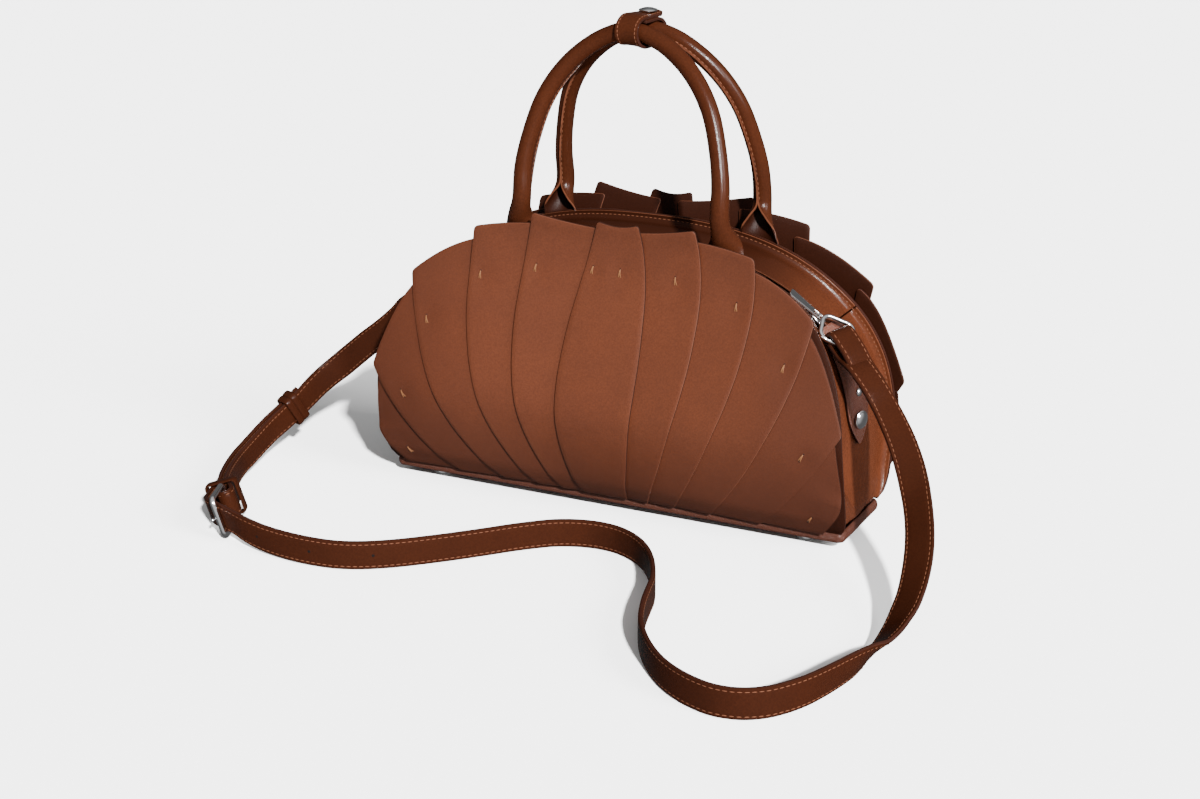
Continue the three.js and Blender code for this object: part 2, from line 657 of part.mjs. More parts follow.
function handle({ side, footShift, topShift, leftIn }) {
  const rows = [
    ...HANDLE.map((row) => ({ ...row, sign: -1 })),
    ...HANDLE.slice(0, -1).reverse().map((row) => ({ ...row, sign: 1 })),
  ].map((row) => {
    const shift = THREE.MathUtils.mapLinear(row.z, HANDLE[0].z, HANDLE.at(-1).z, footShift, topShift);
    const nudge = row.sign < 0 && row.z > 200 && row.reach > 0 ? leftIn : 0;
    const x = row.sign * row.reach + shift + nudge;
    const y = side * Math.max(row.y, row.y ? 0 : depthAt(x, row.z) + GAP + row.thick);
    return { ...row, at: new THREE.Vector3(x, y, row.z) };
  });
  const centreline = new THREE.CatmullRomCurve3(rows.map((row) => row.at), false, 'centripetal');
  const frames = Array.from({ length: HANDLE_FRAMES + 1 }, (_, i) => {
    const t = i / HANDLE_FRAMES;
    const place = t * (rows.length - 1);
    const before = rows[Math.floor(place)];
    const after = rows[Math.ceil(place)];
    const share = place - Math.floor(place);
    const heading = centreline.getTangent(t);
    const up = new THREE.Vector3(0, 1, 0).addScaledVector(heading, -heading.y).normalize();
    return {
      at: centreline.getPoint(t),
      across: heading.clone().cross(up),
      up,
      wide: THREE.MathUtils.lerp(before.wide, after.wide, share),
      thick: THREE.MathUtils.lerp(before.thick, after.thick, share),
    };
  });
  return sweep(roundOutline(TUBE.sides), frames);
}

for (const spec of HANDLES) add(spec.name, handle(spec), bodyLeather);

// Keeper: a leather strip wound round both handles at their top and closed by a snap

const KEEPER = { halfWidth: 8, skew: 0.2, middleX: 6, tail: 9, arcSteps: 5, clear: 1 };
const apex = HANDLE.at(-1);
const nearApex = HANDLE.at(-2);

// A place round the handles, given its distance along and across them and above their axes
function overHandles(x, y, up) {
  const share = THREE.MathUtils.clamp((y / apex.y + 1) / 2, 0, 1);
  const middle = THREE.MathUtils.lerp(HANDLES[0].topShift, HANDLES[1].topShift, share);
  const away = ((x - middle) / nearApex.reach) ** 2;
  const spread = 1 + (nearApex.y / apex.y - 1) * away;
  return new THREE.Vector3(x, y * spread, apex.z + up - (apex.z - nearApex.z) * away);
}

const keeperRadius = TUBE.radius + KEEPER.clear + LEATHER.keeper / 2;
const overlapRise = LEATHER.keeper + GAP;
const keeperPath = [{ y: -apex.y, up: keeperRadius, outY: 0, outUp: 1 }];
for (const side of [1, -1]) {
  for (let i = 0; i <= KEEPER.arcSteps; i += 1) {
    const share = i / KEEPER.arcSteps;
    const angle = side * Math.PI / 2 - Math.PI * share;
    const radius = keeperRadius + (side < 0 ? overlapRise * share : 0);
    const [outY, outUp] = [Math.cos(angle), Math.sin(angle)];
    keeperPath.push({ y: side * apex.y + radius * outY, up: radius * outUp, outY, outUp });
  }
}
keeperPath.push(
  { y: apex.y, up: keeperRadius + overlapRise, outY: 0, outUp: 1 },
  { y: apex.y + KEEPER.tail, up: keeperRadius + overlapRise + 0.6, outY: 0, outUp: 1 },
);
const KEEPER_SHARES = [-1, -0.33, 0.33, 1];
const keeperFace = (side) => keeperPath.map(({ y, up, outY, outUp }) => KEEPER_SHARES.map((share) => {
  const x = KEEPER.middleX + KEEPER.skew * y + share * KEEPER.halfWidth;
  const half = (side * LEATHER.keeper) / 2;
  return overHandles(x, y + half * outY, up + half * outUp);
}));
add('handle_keeper', wall(keeperFace(1), keeperFace(-1)), bodyLeather);

const SNAP = [[0, 0], [6.2, 0], [6.2, 0.8], [5, 1.6], [2.6, 2.2], [0, 2.4]];
const RIVET = [[0, 0], [2.6, 0], [2.6, 0.5], [1.6, 1.1], [0, 1.3]];
const snapSeat = overHandles(
  KEEPER.middleX + KEEPER.skew * apex.y,
  apex.y,
  keeperRadius + overlapRise + LEATHER.keeper / 2 + GAP,
);
add('handle_keeper_snap', turned(SNAP, 12, snapSeat, new THREE.Vector3(0, 0, 1)), nickel);

// End tabs: pointed leather tabs on the gussets below the rings

const TAB = [
  { z: 147, half: 8 },
  { z: 136, half: 10 },
  { z: 115, half: 10.5 },
  { z: 95, half: 10 },
  { z: 80, half: 8.5 },
  { z: 70, half: 5 },
  { z: 63, half: 0.8 },
];
const TAB_MIDDLE = 3;
const TAB_SEAT = 1.1;
const TAB_SNAP_Z = 80;
const TAB_RIVET_Z = 99;

function rimShareAtZ(z) {
  let s = 0;
  while (rim.getPointAt(s).z < z) s += 0.001;
  return s;
}

// A place on the outer face of a gusset, raised off it, on the right (1) or left (-1) side
function onGusset(side, z, y, raise) {
  const frame = rimFrame(rimShareAtZ(z));
  const point = gussetPoint(frame, y, gussetSink(frame, y) - raise);
  point.x *= side;
  return point;
}

function endTab(side) {
  const face = (raise) => TAB.map(({ z, half }) => [-1, -1 / 3, 1 / 3, 1]
    .map((share) => onGusset(side, z, TAB_MIDDLE + share * half, raise)));
  return wall(face(TAB_SEAT + LEATHER.tab), face(TAB_SEAT));
}

function onTab(side, profile, z) {
  const raise = TAB_SEAT + LEATHER.tab;
  const seat = onGusset(side, z, TAB_MIDDLE, raise);
  const down = onGusset(side, z - 4, TAB_MIDDLE, raise).sub(seat);
  const back = onGusset(side, z, TAB_MIDDLE + 4, raise).sub(seat);
  const axis = down.cross(back).multiplyScalar(side).normalize();
  return turned(profile, 12, seat.addScaledVector(axis, GAP), axis);
}

for (const [name, side] of [['right', 1], ['left', -1]]) {
  add(`end_tab_${name}`, endTab(side), grainLeather);
  add(`end_snap_${name}`, onTab(side, SNAP, TAB_SNAP_Z), nickel);
  add(`end_rivet_${name}`, onTab(side, RIVET, TAB_RIVET_Z), nickel);
}

// Rings: square loops in the plane of the strap's end, with the strap folded round one corner

const RINGS = [
  {
    name: 'ring_right',
    centre: [148.4, -3.9, 139.2],
    heading: [0.68, -0.25, -0.69],
    wide: [0.35, 0.9, 0.22],
    flapSide: 1,
  },
  {
    name: 'ring_left',
    centre: [-148.4, -3.9, 139.2],
    heading: [-0.72, -0.02, -0.69],
    wide: [-0.35, 0.9, 0.22],
    flapSide: -1,
  },
].map((ring) => {
  const heading = new THREE.Vector3(...ring.heading).normalize();
  const wide = new THREE.Vector3(...ring.wide);
  wide.addScaledVector(heading, -heading.dot(wide));
  return { ...ring, heading, wide: wide.normalize(), centre: new THREE.Vector3(...ring.centre) };
});
const cornerReach = (RING.width + RING.height) / (2 * Math.SQRT2)
  - RING.corner * (Math.SQRT2 - 1) - RING.wire;

for (const ring of RINGS) {
  const right = ring.wide.clone().add(ring.heading).normalize();
  const down = ring.heading.clone().sub(ring.wide).normalize();
  add(ring.name, wireLoop(RING, ring.centre, right, down), nickel);
}

// Strap: two lengths that stand on edge on the floor and meet at the buckle

// A strip of a given width from a list of places with their width directions
function strip(places, width, thick) {
  const last = places.length - 1;
  const face = (side) => places.map(({ at, wide }, i) => {
    const after = places[Math.min(i + 1, last)].at;
    const before = places[Math.max(i - 1, 0)].at;
    const heading = after.clone().sub(before).normalize();
    const normal = heading.clone().cross(wide).normalize();
    const half = wide.clone().addScaledVector(heading, -wide.dot(heading));
    half.setLength(width / 2);
    const middle = at.clone().addScaledVector(normal, (side * thick) / 2);
    return [middle.clone().sub(half), middle.clone().add(half)];
  });
  return wall(face(1), face(-1));
}

// The buckle's bar for the short strap, the way along the frame and out of the strap's loop
const buckleBar = new THREE.Vector3(-217, -172, 16.2);
const buckleAlong = new THREE.Vector3(0.39, -0.92, 0).normalize();
const buckleOut = new THREE.Vector3(-0.92, -0.39, 0).normalize();
const BUCKLE_LEAN = 0.3;
const upright = new THREE.Vector3(0, 0, 1).addScaledVector(buckleOut, BUCKLE_LEAN).normalize();
const across = buckleAlong.clone().cross(upright);

// Places of a strap end folded round a bar: the flap, the bend and the start of the strap
function foldRound(bar, heading, wide, flapSide, slack, wire, flap) {
  const normal = heading.clone().cross(wide).multiplyScalar(flapSide);
  const open = wire + GAP + LEATHER.strap / 2;
  const shut = LEATHER.strap / 2 + GAP / 2;
  const place = (ahead, out) => ({
    at: bar.clone().addScaledVector(heading, ahead).addScaledVector(normal, out),
    wide,
  });
  const bend = [0, 45, 90, 135, 180].map((degrees) => {
    const angle = THREE.MathUtils.degToRad(degrees);
    return place(-slack - open * Math.sin(angle), open * Math.cos(angle));
  });
  return [place(flap, shut), place(flap / 2, shut), place(4, open), ...bend, place(4, -open)];
}

// Places along a route, turning from the ring's width direction to standing on edge
function alongRoute(start, route, ringWide, steps) {
  const rows = [start, ...route.map(({ x, y, z }) => new THREE.Vector3(x, y, z))];
  const turns = [1, ...route.map((row) => row.turn)];
  const leans = [0, ...route.map((row) => row.lean ?? 0)];
  const curve = new THREE.CatmullRomCurve3(rows, false, 'centripetal');
  curve.arcLengthDivisions = 800;
  return Array.from({ length: steps + 1 }, (_, i) => {
    const t = curve.getUtoTmapping(i / steps);
    const place = t * (rows.length - 1);
    const low = Math.floor(place);
    const high = Math.min(low + 1, rows.length - 1);
    const between = (list) => THREE.MathUtils.lerp(list[low], list[high], place - low);
    const heading = curve.getTangent(t);
    const wide = new THREE.Vector3(0, 0, 1).lerp(ringWide, between(turns));
    wide.addScaledVector(buckleOut, between(leans));
    wide.addScaledVector(heading, -wide.dot(heading)).normalize();
    return { at: curve.getPoint(t), wide, heading };
  });
}

function atBuckle(ahead, out) {
  return buckleBar.clone().addScaledVector(buckleAlong, ahead).addScaledVector(across, out);
}

const CORNER_SLACK = 8.7;
const ends = RINGS.map((ring) => {
  const bar = ring.centre.clone().addScaledVector(ring.heading, cornerReach);
  return foldRound(bar, ring.heading, ring.wide, ring.flapSide, CORNER_SLACK, RING.wire, STRAP.flap);
});

const FLAP_STEPS = 2;
const buckleFold = foldRound(buckleBar, buckleAlong.clone().negate(), upright, 1, 0, BUCKLE.wire, STRAP.flap)
  .slice(2)
  .reverse();
const shortPlaces = alongRoute(
  ends[1].at(-1).at,
  [...SHORT_ROUTE, { ...buckleFold[0].at, turn: 0, lean: BUCKLE_LEAN }],
  RINGS[1].wide,
  SHORT_STEPS,
);
// The short strap's places between two steps, moved sideways and in reverse
function besideShort(from, to, out) {
  return shortPlaces.slice(from, to).reverse().map(({ at, wide, heading }) => ({
    at: at.clone().addScaledVector(heading.clone().cross(wide).normalize(), out),
    wide,
  }));
}

const buckleFlap = besideShort(SHORT_STEPS - FLAP_STEPS, SHORT_STEPS, -LEATHER.strap - 2 * GAP);
const shortStrap = [...ends[1], ...shortPlaces.slice(1), ...buckleFold.slice(1), ...buckleFlap];
add('strap_short', strip(shortStrap, STRAP.width, LEATHER.strap), strapLeather);

// The long strap's tip goes back along the outside of the short strap to the sliding keeper
const TIP = { from: 24, to: 12, out: 4.4 };
const tipPlaces = besideShort(TIP.to, TIP.from + 1, TIP.out);
const longPlaces = alongRoute(ends[0].at(-1).at, LONG_ROUTE, RINGS[0].wide, LONG_STEPS - tipPlaces.length);
const longStrap = strip([...ends[0], ...longPlaces.slice(1), ...tipPlaces], STRAP.width, LEATHER.strap);

// Buckle: a wire frame and a tongue through the long strap
const TONGUE = { radius: 1.2, startAhead: 6.4, startOut: 0.4, endAhead: 31, endOut: 3.8, clear: 0.4 };
const tongueFrames = (radius) => [
  atBuckle(TONGUE.startAhead, TONGUE.startOut),
  atBuckle(TONGUE.endAhead, TONGUE.endOut),
].map((at) => ({ at, across, up: upright, wide: radius, thick: radius }));
const tongueHole = sweep(roundOutline(8), tongueFrames(TONGUE.radius + TONGUE.clear));
add('strap_long', fromSolid(toSolid(longStrap).subtract(toSolid(tongueHole))), strapLeather);
add('buckle_tongue', sweep(roundOutline(8), tongueFrames(TONGUE.radius)), nickel);
const frameLoop = { ...BUCKLE, width: BUCKLE.length + 2 * BUCKLE.wire };
add('buckle_frame', wireLoop(frameLoop, atBuckle(BUCKLE.length / 2, 0), buckleAlong, upright), nickel);

// Keepers: leather loops that hold the two straps together

function bandLoop(centre, heading, wide, { innerWide, innerThick, width }) {
  const normal = heading.clone().cross(wide).normalize();
  const half = LEATHER.keeper / 2;
  const path = roundedRectangle(innerWide + 2 * half, innerThick + 2 * half, 2.5, 2);
  const frames = path.map((p, i) => {
    const before = path[(i + path.length - 1) % path.length];
    const after = path[(i + 1) % path.length];
    const turn = after.clone().sub(before).normalize();
    return {
      at: centre.clone().addScaledVector(wide, p.x).addScaledVector(normal, p.y),
      across: heading,
      up: wide.clone().multiplyScalar(turn.y).addScaledVector(normal, -turn.x),
      wide: width / 2,
      thick: half,
    };
  });
  const square = [[-1, -1], [1, -1], [1, 1], [-1, 1]].map(([x, y]) => new THREE.Vector2(x, y));
  return sweep(square, frames, true);
}

const SLIDING = { step: 13, width: 11, innerWide: 20.4, innerThick: 9.6 };
const FIXED = { ahead: -12, out: 4.6, width: 7, innerWide: 22, innerThick: 19 };
const slidingPlace = shortPlaces[SLIDING.step];
const slidingNormal = slidingPlace.heading.clone().cross(slidingPlace.wide).normalize();
const slidingCentre = slidingPlace.at.clone().addScaledVector(slidingNormal, TIP.out / 2);
const slidingLoop = bandLoop(slidingCentre, slidingPlace.heading, slidingPlace.wide, SLIDING);
add('keeper_sliding', slidingLoop, strapLeather);
const fixedCentre = atBuckle(FIXED.ahead, FIXED.out);
add('keeper_fixed', bandLoop(fixedCentre, buckleAlong, upright, FIXED), strapLeather);

export default bag;
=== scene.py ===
import math
from bisect import bisect

import bmesh
import bpy
from mathutils import Matrix, Vector


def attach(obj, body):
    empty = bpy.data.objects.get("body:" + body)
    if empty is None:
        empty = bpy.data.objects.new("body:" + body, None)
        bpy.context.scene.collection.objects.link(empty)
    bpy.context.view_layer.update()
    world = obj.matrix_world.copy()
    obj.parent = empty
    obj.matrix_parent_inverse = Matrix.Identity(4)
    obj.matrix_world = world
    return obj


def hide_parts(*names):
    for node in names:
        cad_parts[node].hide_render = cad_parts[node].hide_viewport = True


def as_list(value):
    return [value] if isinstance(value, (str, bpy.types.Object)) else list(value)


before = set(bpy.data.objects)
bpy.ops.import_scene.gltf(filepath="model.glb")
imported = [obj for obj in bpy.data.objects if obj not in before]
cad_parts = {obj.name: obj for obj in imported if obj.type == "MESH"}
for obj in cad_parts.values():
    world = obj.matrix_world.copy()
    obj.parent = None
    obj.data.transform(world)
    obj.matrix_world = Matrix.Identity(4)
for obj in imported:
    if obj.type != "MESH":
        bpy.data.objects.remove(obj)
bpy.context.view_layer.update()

# Studio: a pale seamless floor under a soft sky that falls off towards the horizon, with one
# strong lamp far off in front of the bag to the right and a soft fill beside it. The camera
# looks down a little.
VIEW_TURN = math.radians(26.34)
VIEW_RISE = math.radians(18.55)
VIEW_DISTANCE = 1.4007
VIEW_SHIFT = (-0.0217, 0.0661)


def placed(at, x_way, y_way, z_way):
    """A move to a place that turns the X, Y and Z axes to three directions."""
    return Matrix.Translation(at) @ Matrix((x_way, y_way, z_way)).transposed().to_4x4()


view_right = Vector((math.cos(VIEW_TURN), math.sin(VIEW_TURN), 0))
view_back = Vector((
    math.sin(VIEW_TURN) * math.cos(VIEW_RISE),
    -math.cos(VIEW_TURN) * math.cos(VIEW_RISE),
    math.sin(VIEW_RISE),
))
view_up = view_back.cross(view_right)
camera_data = bpy.data.cameras.new("camera")
camera_data.lens = 60
camera_data.sensor_width = 36
camera_data.sensor_fit = "HORIZONTAL"
camera_data.clip_start = 0.05
camera = bpy.data.objects.new("camera", camera_data)
bpy.context.scene.collection.objects.link(camera)
camera_place = view_right * VIEW_SHIFT[0] + view_up * VIEW_SHIFT[1] + view_back * VIEW_DISTANCE
camera.matrix_world = placed(camera_place, view_right, view_up, view_back)
bpy.context.scene.camera = camera

floor_bm = bmesh.new()
bmesh.ops.create_grid(floor_bm, x_segments=2, y_segments=2, size=8)
floor_mesh = bpy.data.meshes.new("floor")
floor_bm.to_mesh(floor_mesh)
floor_bm.free()
floor = bpy.data.objects.new("floor", floor_mesh)
bpy.context.scene.collection.objects.link(floor)
paper = bpy.data.materials.new("studio_paper")
paper.use_nodes = True
paper_shader = paper.node_tree.nodes["Principled BSDF"]
paper_shader.inputs["Base Color"].default_value = (0.86, 0.86, 0.86, 1)
paper_shader.inputs["Roughness"].default_value = 0.9
paper_shader.inputs["Specular IOR Level"].default_value = 0.1
floor_mesh.materials.append(paper)
floor.visible_glossy = False

sky = bpy.data.worlds.new("studio_sky")
bpy.context.scene.world = sky
sky.use_nodes = True
sky_nodes = sky.node_tree.nodes
sky_direction = sky_nodes.new("ShaderNodeTexCoord")
sky_height = sky_nodes.new("ShaderNodeVectorMath")
sky_height.operation = "DOT_PRODUCT"
sky_height.inputs[1].default_value = (0.52, -0.55, 0.65)
sky_ramp = sky_nodes.new("ShaderNodeValToRGB")
sky_ramp.color_ramp.elements[0].position = 0.0
sky_ramp.color_ramp.elements[0].color = (0.16, 0.16, 0.16, 1)
sky_ramp.color_ramp.elements[1].position = 0.8
sky_ramp.color_ramp.elements[1].color = (1, 1, 1, 1)
sky.node_tree.links.new(sky_direction.outputs["Generated"], sky_height.inputs[0])
sky.node_tree.links.new(sky_height.outputs["Value"], sky_ramp.inputs["Fac"])
sky.node_tree.links.new(sky_ramp.outputs["Color"], sky_nodes["Background"].inputs["Color"])
sky_nodes["Background"].inputs["Strength"].default_value = 0.72

SUNS = [
    # name, direction it comes from, strength, angular size in degrees
    ("sun_front_right", (1.18, -1.28, 1.0), 27.5, 3),
    ("fill_right", (1.5, -0.35, 0.75), 7, 25),
]
for sun_name, sun_from, sun_strength, sun_degrees in SUNS:
    sun_data = bpy.data.lights.new(sun_name, "SUN")
    sun_data.energy = sun_strength
    sun_data.angle = math.radians(sun_degrees)
    sun = bpy.data.objects.new(sun_name, sun_data)
    bpy.context.scene.collection.objects.link(sun)
    sun.rotation_euler = Vector(sun_from).to_track_quat("Z", "Y").to_euler()


# Base: a stiff slab of grained leather with a rolled welt round its edge and four metal feet that
# are screwed through it. The welt takes the lower edges of the panels, petals and gussets.
MM = 0.001
# Distances from the middle in mm over which the painted side shade of the leathers changes.
PAINTED_SIDE_SHADE_SPAN = (70, 165)


def new_finish(name, gloss):
    """An empty material: its node tree, its shader and the Object coordinates."""
    material = bpy.data.materials.new(name)
    material.use_nodes = True
    tree = material.node_tree
    shader = tree.nodes["Principled BSDF"]
    shader.inputs["Specular IOR Level"].default_value = gloss
    return material, tree, shader, tree.nodes.new("ShaderNodeTexCoord").outputs["Object"]


def noise(tree, place, scale, detail, roughness=0.5):
    """Clouded noise over the piece."""
    cloud = tree.nodes.new("ShaderNodeTexNoise")
    cloud.inputs["Scale"].default_value = scale
    cloud.inputs["Detail"].default_value = detail
    cloud.inputs["Roughness"].default_value = roughness
    tree.links.new(place, cloud.inputs["Vector"])
    return cloud.outputs["Fac"]


def spread(tree, source, takes, gives, smooth=False):
    """A value spread from one range to another."""
    ramp = tree.nodes.new("ShaderNodeMapRange")
    if smooth:
        ramp.interpolation_type = "SMOOTHSTEP"
    for socket, value in zip(("From Min", "From Max", "To Min", "To Max"), (*takes, *gives)):
        ramp.inputs[socket].default_value = value
    tree.links.new(source, ramp.inputs["Value"])
    return ramp.outputs["Result"]


def worked_out(tree, operation, *values):
    """One step of arithmetic on one or two values."""
    step = tree.nodes.new("ShaderNodeMath")
    step.operation = operation
    for socket, value in zip(step.inputs, values):
        tree.links.new(value, socket)
    return step.outputs["Value"]


def dye(tree, shader, factor, dark, light):
    """Colours a finish from dark to light by a factor."""
    tint = tree.nodes.new("ShaderNodeMix")
    tint.data_type = "RGBA"
    tint.inputs["A"].default_value = (*dark, 1)
    tint.inputs["B"].default_value = (*light, 1)
    tree.links.new(factor, tint.inputs["Factor"])
    tree.links.new(tint.outputs["Result"], shader.inputs["Base Color"])


def emboss(tree, shader, height, strength, depth):
    """Gives a finish the fine relief of a height."""
    bump = tree.nodes.new("ShaderNodeBump")
    bump.inputs["Strength"].default_value = strength
    bump.inputs["Distance"].default_value = depth
    tree.links.new(height, bump.inputs["Height"])
    tree.links.new(bump.outputs["Normal"], shader.inputs["Normal"])


def leather(name, colour, shade, roughness, grain_mm, grain_depth, gloss, painted_shade_heights=None, aside=(1, 0.4)):
    """Mottled leather with a pebbled grain and fine pores, and painted shade that varies with height and
    from the middle to the sides, where asked.
    """
    material, tree, shader, place = new_finish(name, gloss)
    cloud = noise(tree, place, 34, 7, 0.62)
    tone = spread(tree, cloud, (0.25, 0.75), (0.66, 1))
    speckle = spread(tree, noise(tree, place, 850, 2), (0.35, 0.65), (0.62, 1))
    mottle_and_shade = worked_out(tree, "MULTIPLY", tone, speckle)
    # Painted shade: the tint darkens below the given heights, and the aside factors scale it from the middle
    # of the bag to its sides.
    if painted_shade_heights:
        split = tree.nodes.new("ShaderNodeSeparateXYZ")
        tree.links.new(place, split.inputs[0])
        painted_shade_by_height = spread(tree, split.outputs["Z"], [z * MM for z in painted_shade_heights], (0, 1), smooth=True)
        reach = worked_out(tree, "ABSOLUTE", split.outputs["X"])
        painted_shade_by_side = spread(tree, reach, [x * MM for x in PAINTED_SIDE_SHADE_SPAN], aside, smooth=True)
        mottle_and_shade = worked_out(tree, "MULTIPLY", worked_out(tree, "MULTIPLY", painted_shade_by_height, painted_shade_by_side), mottle_and_shade)
    dye(tree, shader, mottle_and_shade, shade, colour)

    cells = tree.nodes.new("ShaderNodeTexVoronoi")
    cells.feature = "DISTANCE_TO_EDGE"
    cells.inputs["Scale"].default_value = 1 / (grain_mm * MM)
    tree.links.new(place, cells.inputs["Vector"])
    relief = tree.nodes.new("ShaderNodeMix")
    relief.inputs["Factor"].default_value = 0.35
    pebble = spread(tree, cells.outputs["Distance"], (0, 0.28), (0, 1), smooth=True)
    tree.links.new(pebble, relief.inputs["A"])
    tree.links.new(noise(tree, place, 2200, 3), relief.inputs["B"])
    emboss(tree, shader, relief.outputs["Result"], grain_depth, 0.0004)

    wear = spread(tree, cloud, (0, 1), (roughness + 0.07, roughness - 0.07))
    tree.links.new(wear, shader.inputs["Roughness"])
    return material


def painted_edge(name, colour, roughness):
    """Cut leather edge sealed with edge paint, slightly uneven."""
    material, tree, shader, place = new_finish(name, 0.08)
    shader.inputs["Roughness"].default_value = roughness
    runs = noise(tree, place, 260, 4)
    dye(tree, shader, runs, [0.6 * channel for channel in colour], [1.25 * channel for channel in colour])
    emboss(tree, shader, runs, 0.35, 0.0003)
    return material


def polished_metal(name, colour, roughness):
    """Plated metal with faint polishing haze."""
    material, tree, shader, place = new_finish(name, 0.5)
    shader.inputs["Base Color"].default_value = (*colour, 1)
    shader.inputs["Metallic"].default_value = 1
    haze = noise(tree, place, 420, 6)
    polish = spread(tree, haze, (0, 1), (roughness * 0.6, roughness * 1.6))
    tree.links.new(polish, shader.inputs["Roughness"])
    emboss(tree, shader, haze, 0.04, 0.0002)
    return material


def add_piece(name, bm, materials, nodes=(), body="bag", sharp_degrees=40):
    """Turns a bmesh in millimetres into a piece that rides on a body and stands for CAD nodes."""
    bmesh.ops.scale(bm, vec=(MM, MM, MM), verts=bm.verts)
    mesh = bpy.data.meshes.new(name)
    bm.to_mesh(mesh)
    bm.free()
    for material in materials:
        mesh.materials.append(material)
    mesh.shade_smooth()
    mesh.set_sharp_from_angle(angle=math.radians(sharp_degrees))
    piece = bpy.data.objects.new(name, mesh)
    bpy.context.scene.collection.objects.link(piece)
    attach(piece, body)
    if nodes:
        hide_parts(*nodes)
    return piece


def verts_in(geometry):
    return [item for item in geometry if isinstance(item, bmesh.types.BMVert)]


def edges_in(geometry):
    return [item for item in geometry if isinstance(item, bmesh.types.BMEdge)]


def edges_round(verts):
    return list({edge for vert in verts for edge in vert.link_edges})


def round_over(bm, edges, radius, segments):
    """Rounds over some edges of a mesh."""
    bmesh.ops.bevel(
        bm, geom=edges, offset=radius, segments=segments, profile=0.5, affect="EDGES", material=-1,
    )


def bent_loop(width, height, corner, section, corner_steps, section_steps=14):
    """A bar with an oval section bent into a rounded rectangle in the XY plane."""
    bm = bmesh.new()
    ring = bmesh.ops.create_circle(bm, segments=section_steps, radius=1)["verts"]
    start = Matrix.Translation((width / 2, corner - height / 2, 0))
    stand = start @ Matrix.Rotation(math.radians(90), 4, "X")
    oval = Matrix.Diagonal((section[0] / 2, section[1] / 2, 1, 1))
    bmesh.ops.transform(bm, matrix=stand @ oval, verts=ring)
    edges = edges_round(ring)
    for turn in range(4):
        run = (width if turn % 2 else height) - 2 * corner
        heading = Matrix.Rotation(math.radians(90 * turn), 3, "Z") @ Vector((0, run, 0))
        out = bmesh.ops.extrude_edge_only(bm, edges=edges)["geom"]
        bmesh.ops.translate(bm, vec=heading, verts=verts_in(out))
        side = (1, -1, -1, 1)[turn]
        level = (1, 1, -1, -1)[turn]
        centre = (side * (width / 2 - corner), level * (height / 2 - corner), 0)
        spun = bmesh.ops.spin(
            bm, geom=edges_in(out), cent=centre, axis=(0, 0, 1), angle=math.radians(90), steps=corner_steps,
        )
        edges = edges_in(spun["geom_last"])
    bmesh.ops.remove_doubles(bm, verts=bm.verts, dist=0.01)
    bmesh.ops.recalc_face_normals(bm, faces=bm.faces)
    return bm


def turned(profile, sides=32):
    """A turned piece: a profile of radius and height spun about Z."""
    bm = bmesh.new()
    points = [bm.verts.new((radius, 0, height)) for radius, height in profile]
    edges = [bm.edges.new(pair) for pair in zip(points, points[1:])]
    bmesh.ops.spin(
        bm, geom=points + edges, cent=(0, 0, 0), axis=(0, 0, 1), angle=math.tau, steps=sides, use_merge=True,
    )
    bmesh.ops.remove_doubles(bm, verts=bm.verts, dist=0.005)
    bmesh.ops.recalc_face_normals(bm, faces=bm.faces)
    return bm


BASE = {"length": 330, "depth": 64, "corner": 5, "bottom": 6, "thick": 2.5, "rim": 0.6}
WELT = {"wide": 4.2, "tall": 7.4, "bottom": 6.2, "corner": 3.4, "gap": 0.4}
FEET = [(-139, -23), (139, -23), (-139, 23), (139, 23)]
FOOT_PROFILE = [
    # radius, height
    (0, 0), (2.6, 0.05), (4, 0.5), (5, 1.4), (5.5, 2.6),
    (5.3, 3.6), (4.6, 4.4), (3.6, 5), (3.4, 5.6), (0, 5.6),
]

grained_leather = leather(
    "grained_leather", (0.027, 0.0085, 0.005), (0.014, 0.0042, 0.0027),
    roughness=0.45, grain_mm=1.1, grain_depth=0.9, gloss=0.1,
)
nickel = polished_metal("nickel", (0.83, 0.83, 0.84), 0.1)

slab = bmesh.new()
bmesh.ops.create_cube(slab, size=1)
bmesh.ops.scale(slab, vec=(BASE["length"], BASE["depth"], BASE["thick"]), verts=slab.verts)
uprights = [edge for edge in slab.edges if abs(edge.verts[0].co.z - edge.verts[1].co.z) > 1]
round_over(slab, uprights, BASE["corner"], 8)
rims = [edge for edge in slab.edges if edge.calc_face_angle(0) > 1]
round_over(slab, rims, BASE["rim"], 2)
bmesh.ops.translate(slab, vec=(0, 0, BASE["bottom"] + BASE["thick"] / 2), verts=slab.verts)
add_piece("base_slab", slab, [grained_leather], ["base_panel"])

welt = bent_loop(
    BASE["length"] + 2 * WELT["gap"] + WELT["wide"],
    BASE["depth"] + 2 * WELT["gap"] + WELT["wide"],
    WELT["corner"],
    (WELT["wide"], WELT["tall"]),
    corner_steps=12,
)
bmesh.ops.translate(welt, vec=(0, 0, WELT["bottom"] + WELT["tall"] / 2), verts=welt.verts)
add_piece("base_rolled_welt", welt, [grained_leather], ["base_welt"])

for number, (foot_x, foot_y) in enumerate(FEET, 1):
    foot = turned(FOOT_PROFILE)
    bmesh.ops.translate(foot, vec=(foot_x, foot_y, 0), verts=foot.verts)
    add_piece(f"domed_foot_{number}", foot, [nickel], [f"foot_{number}"])


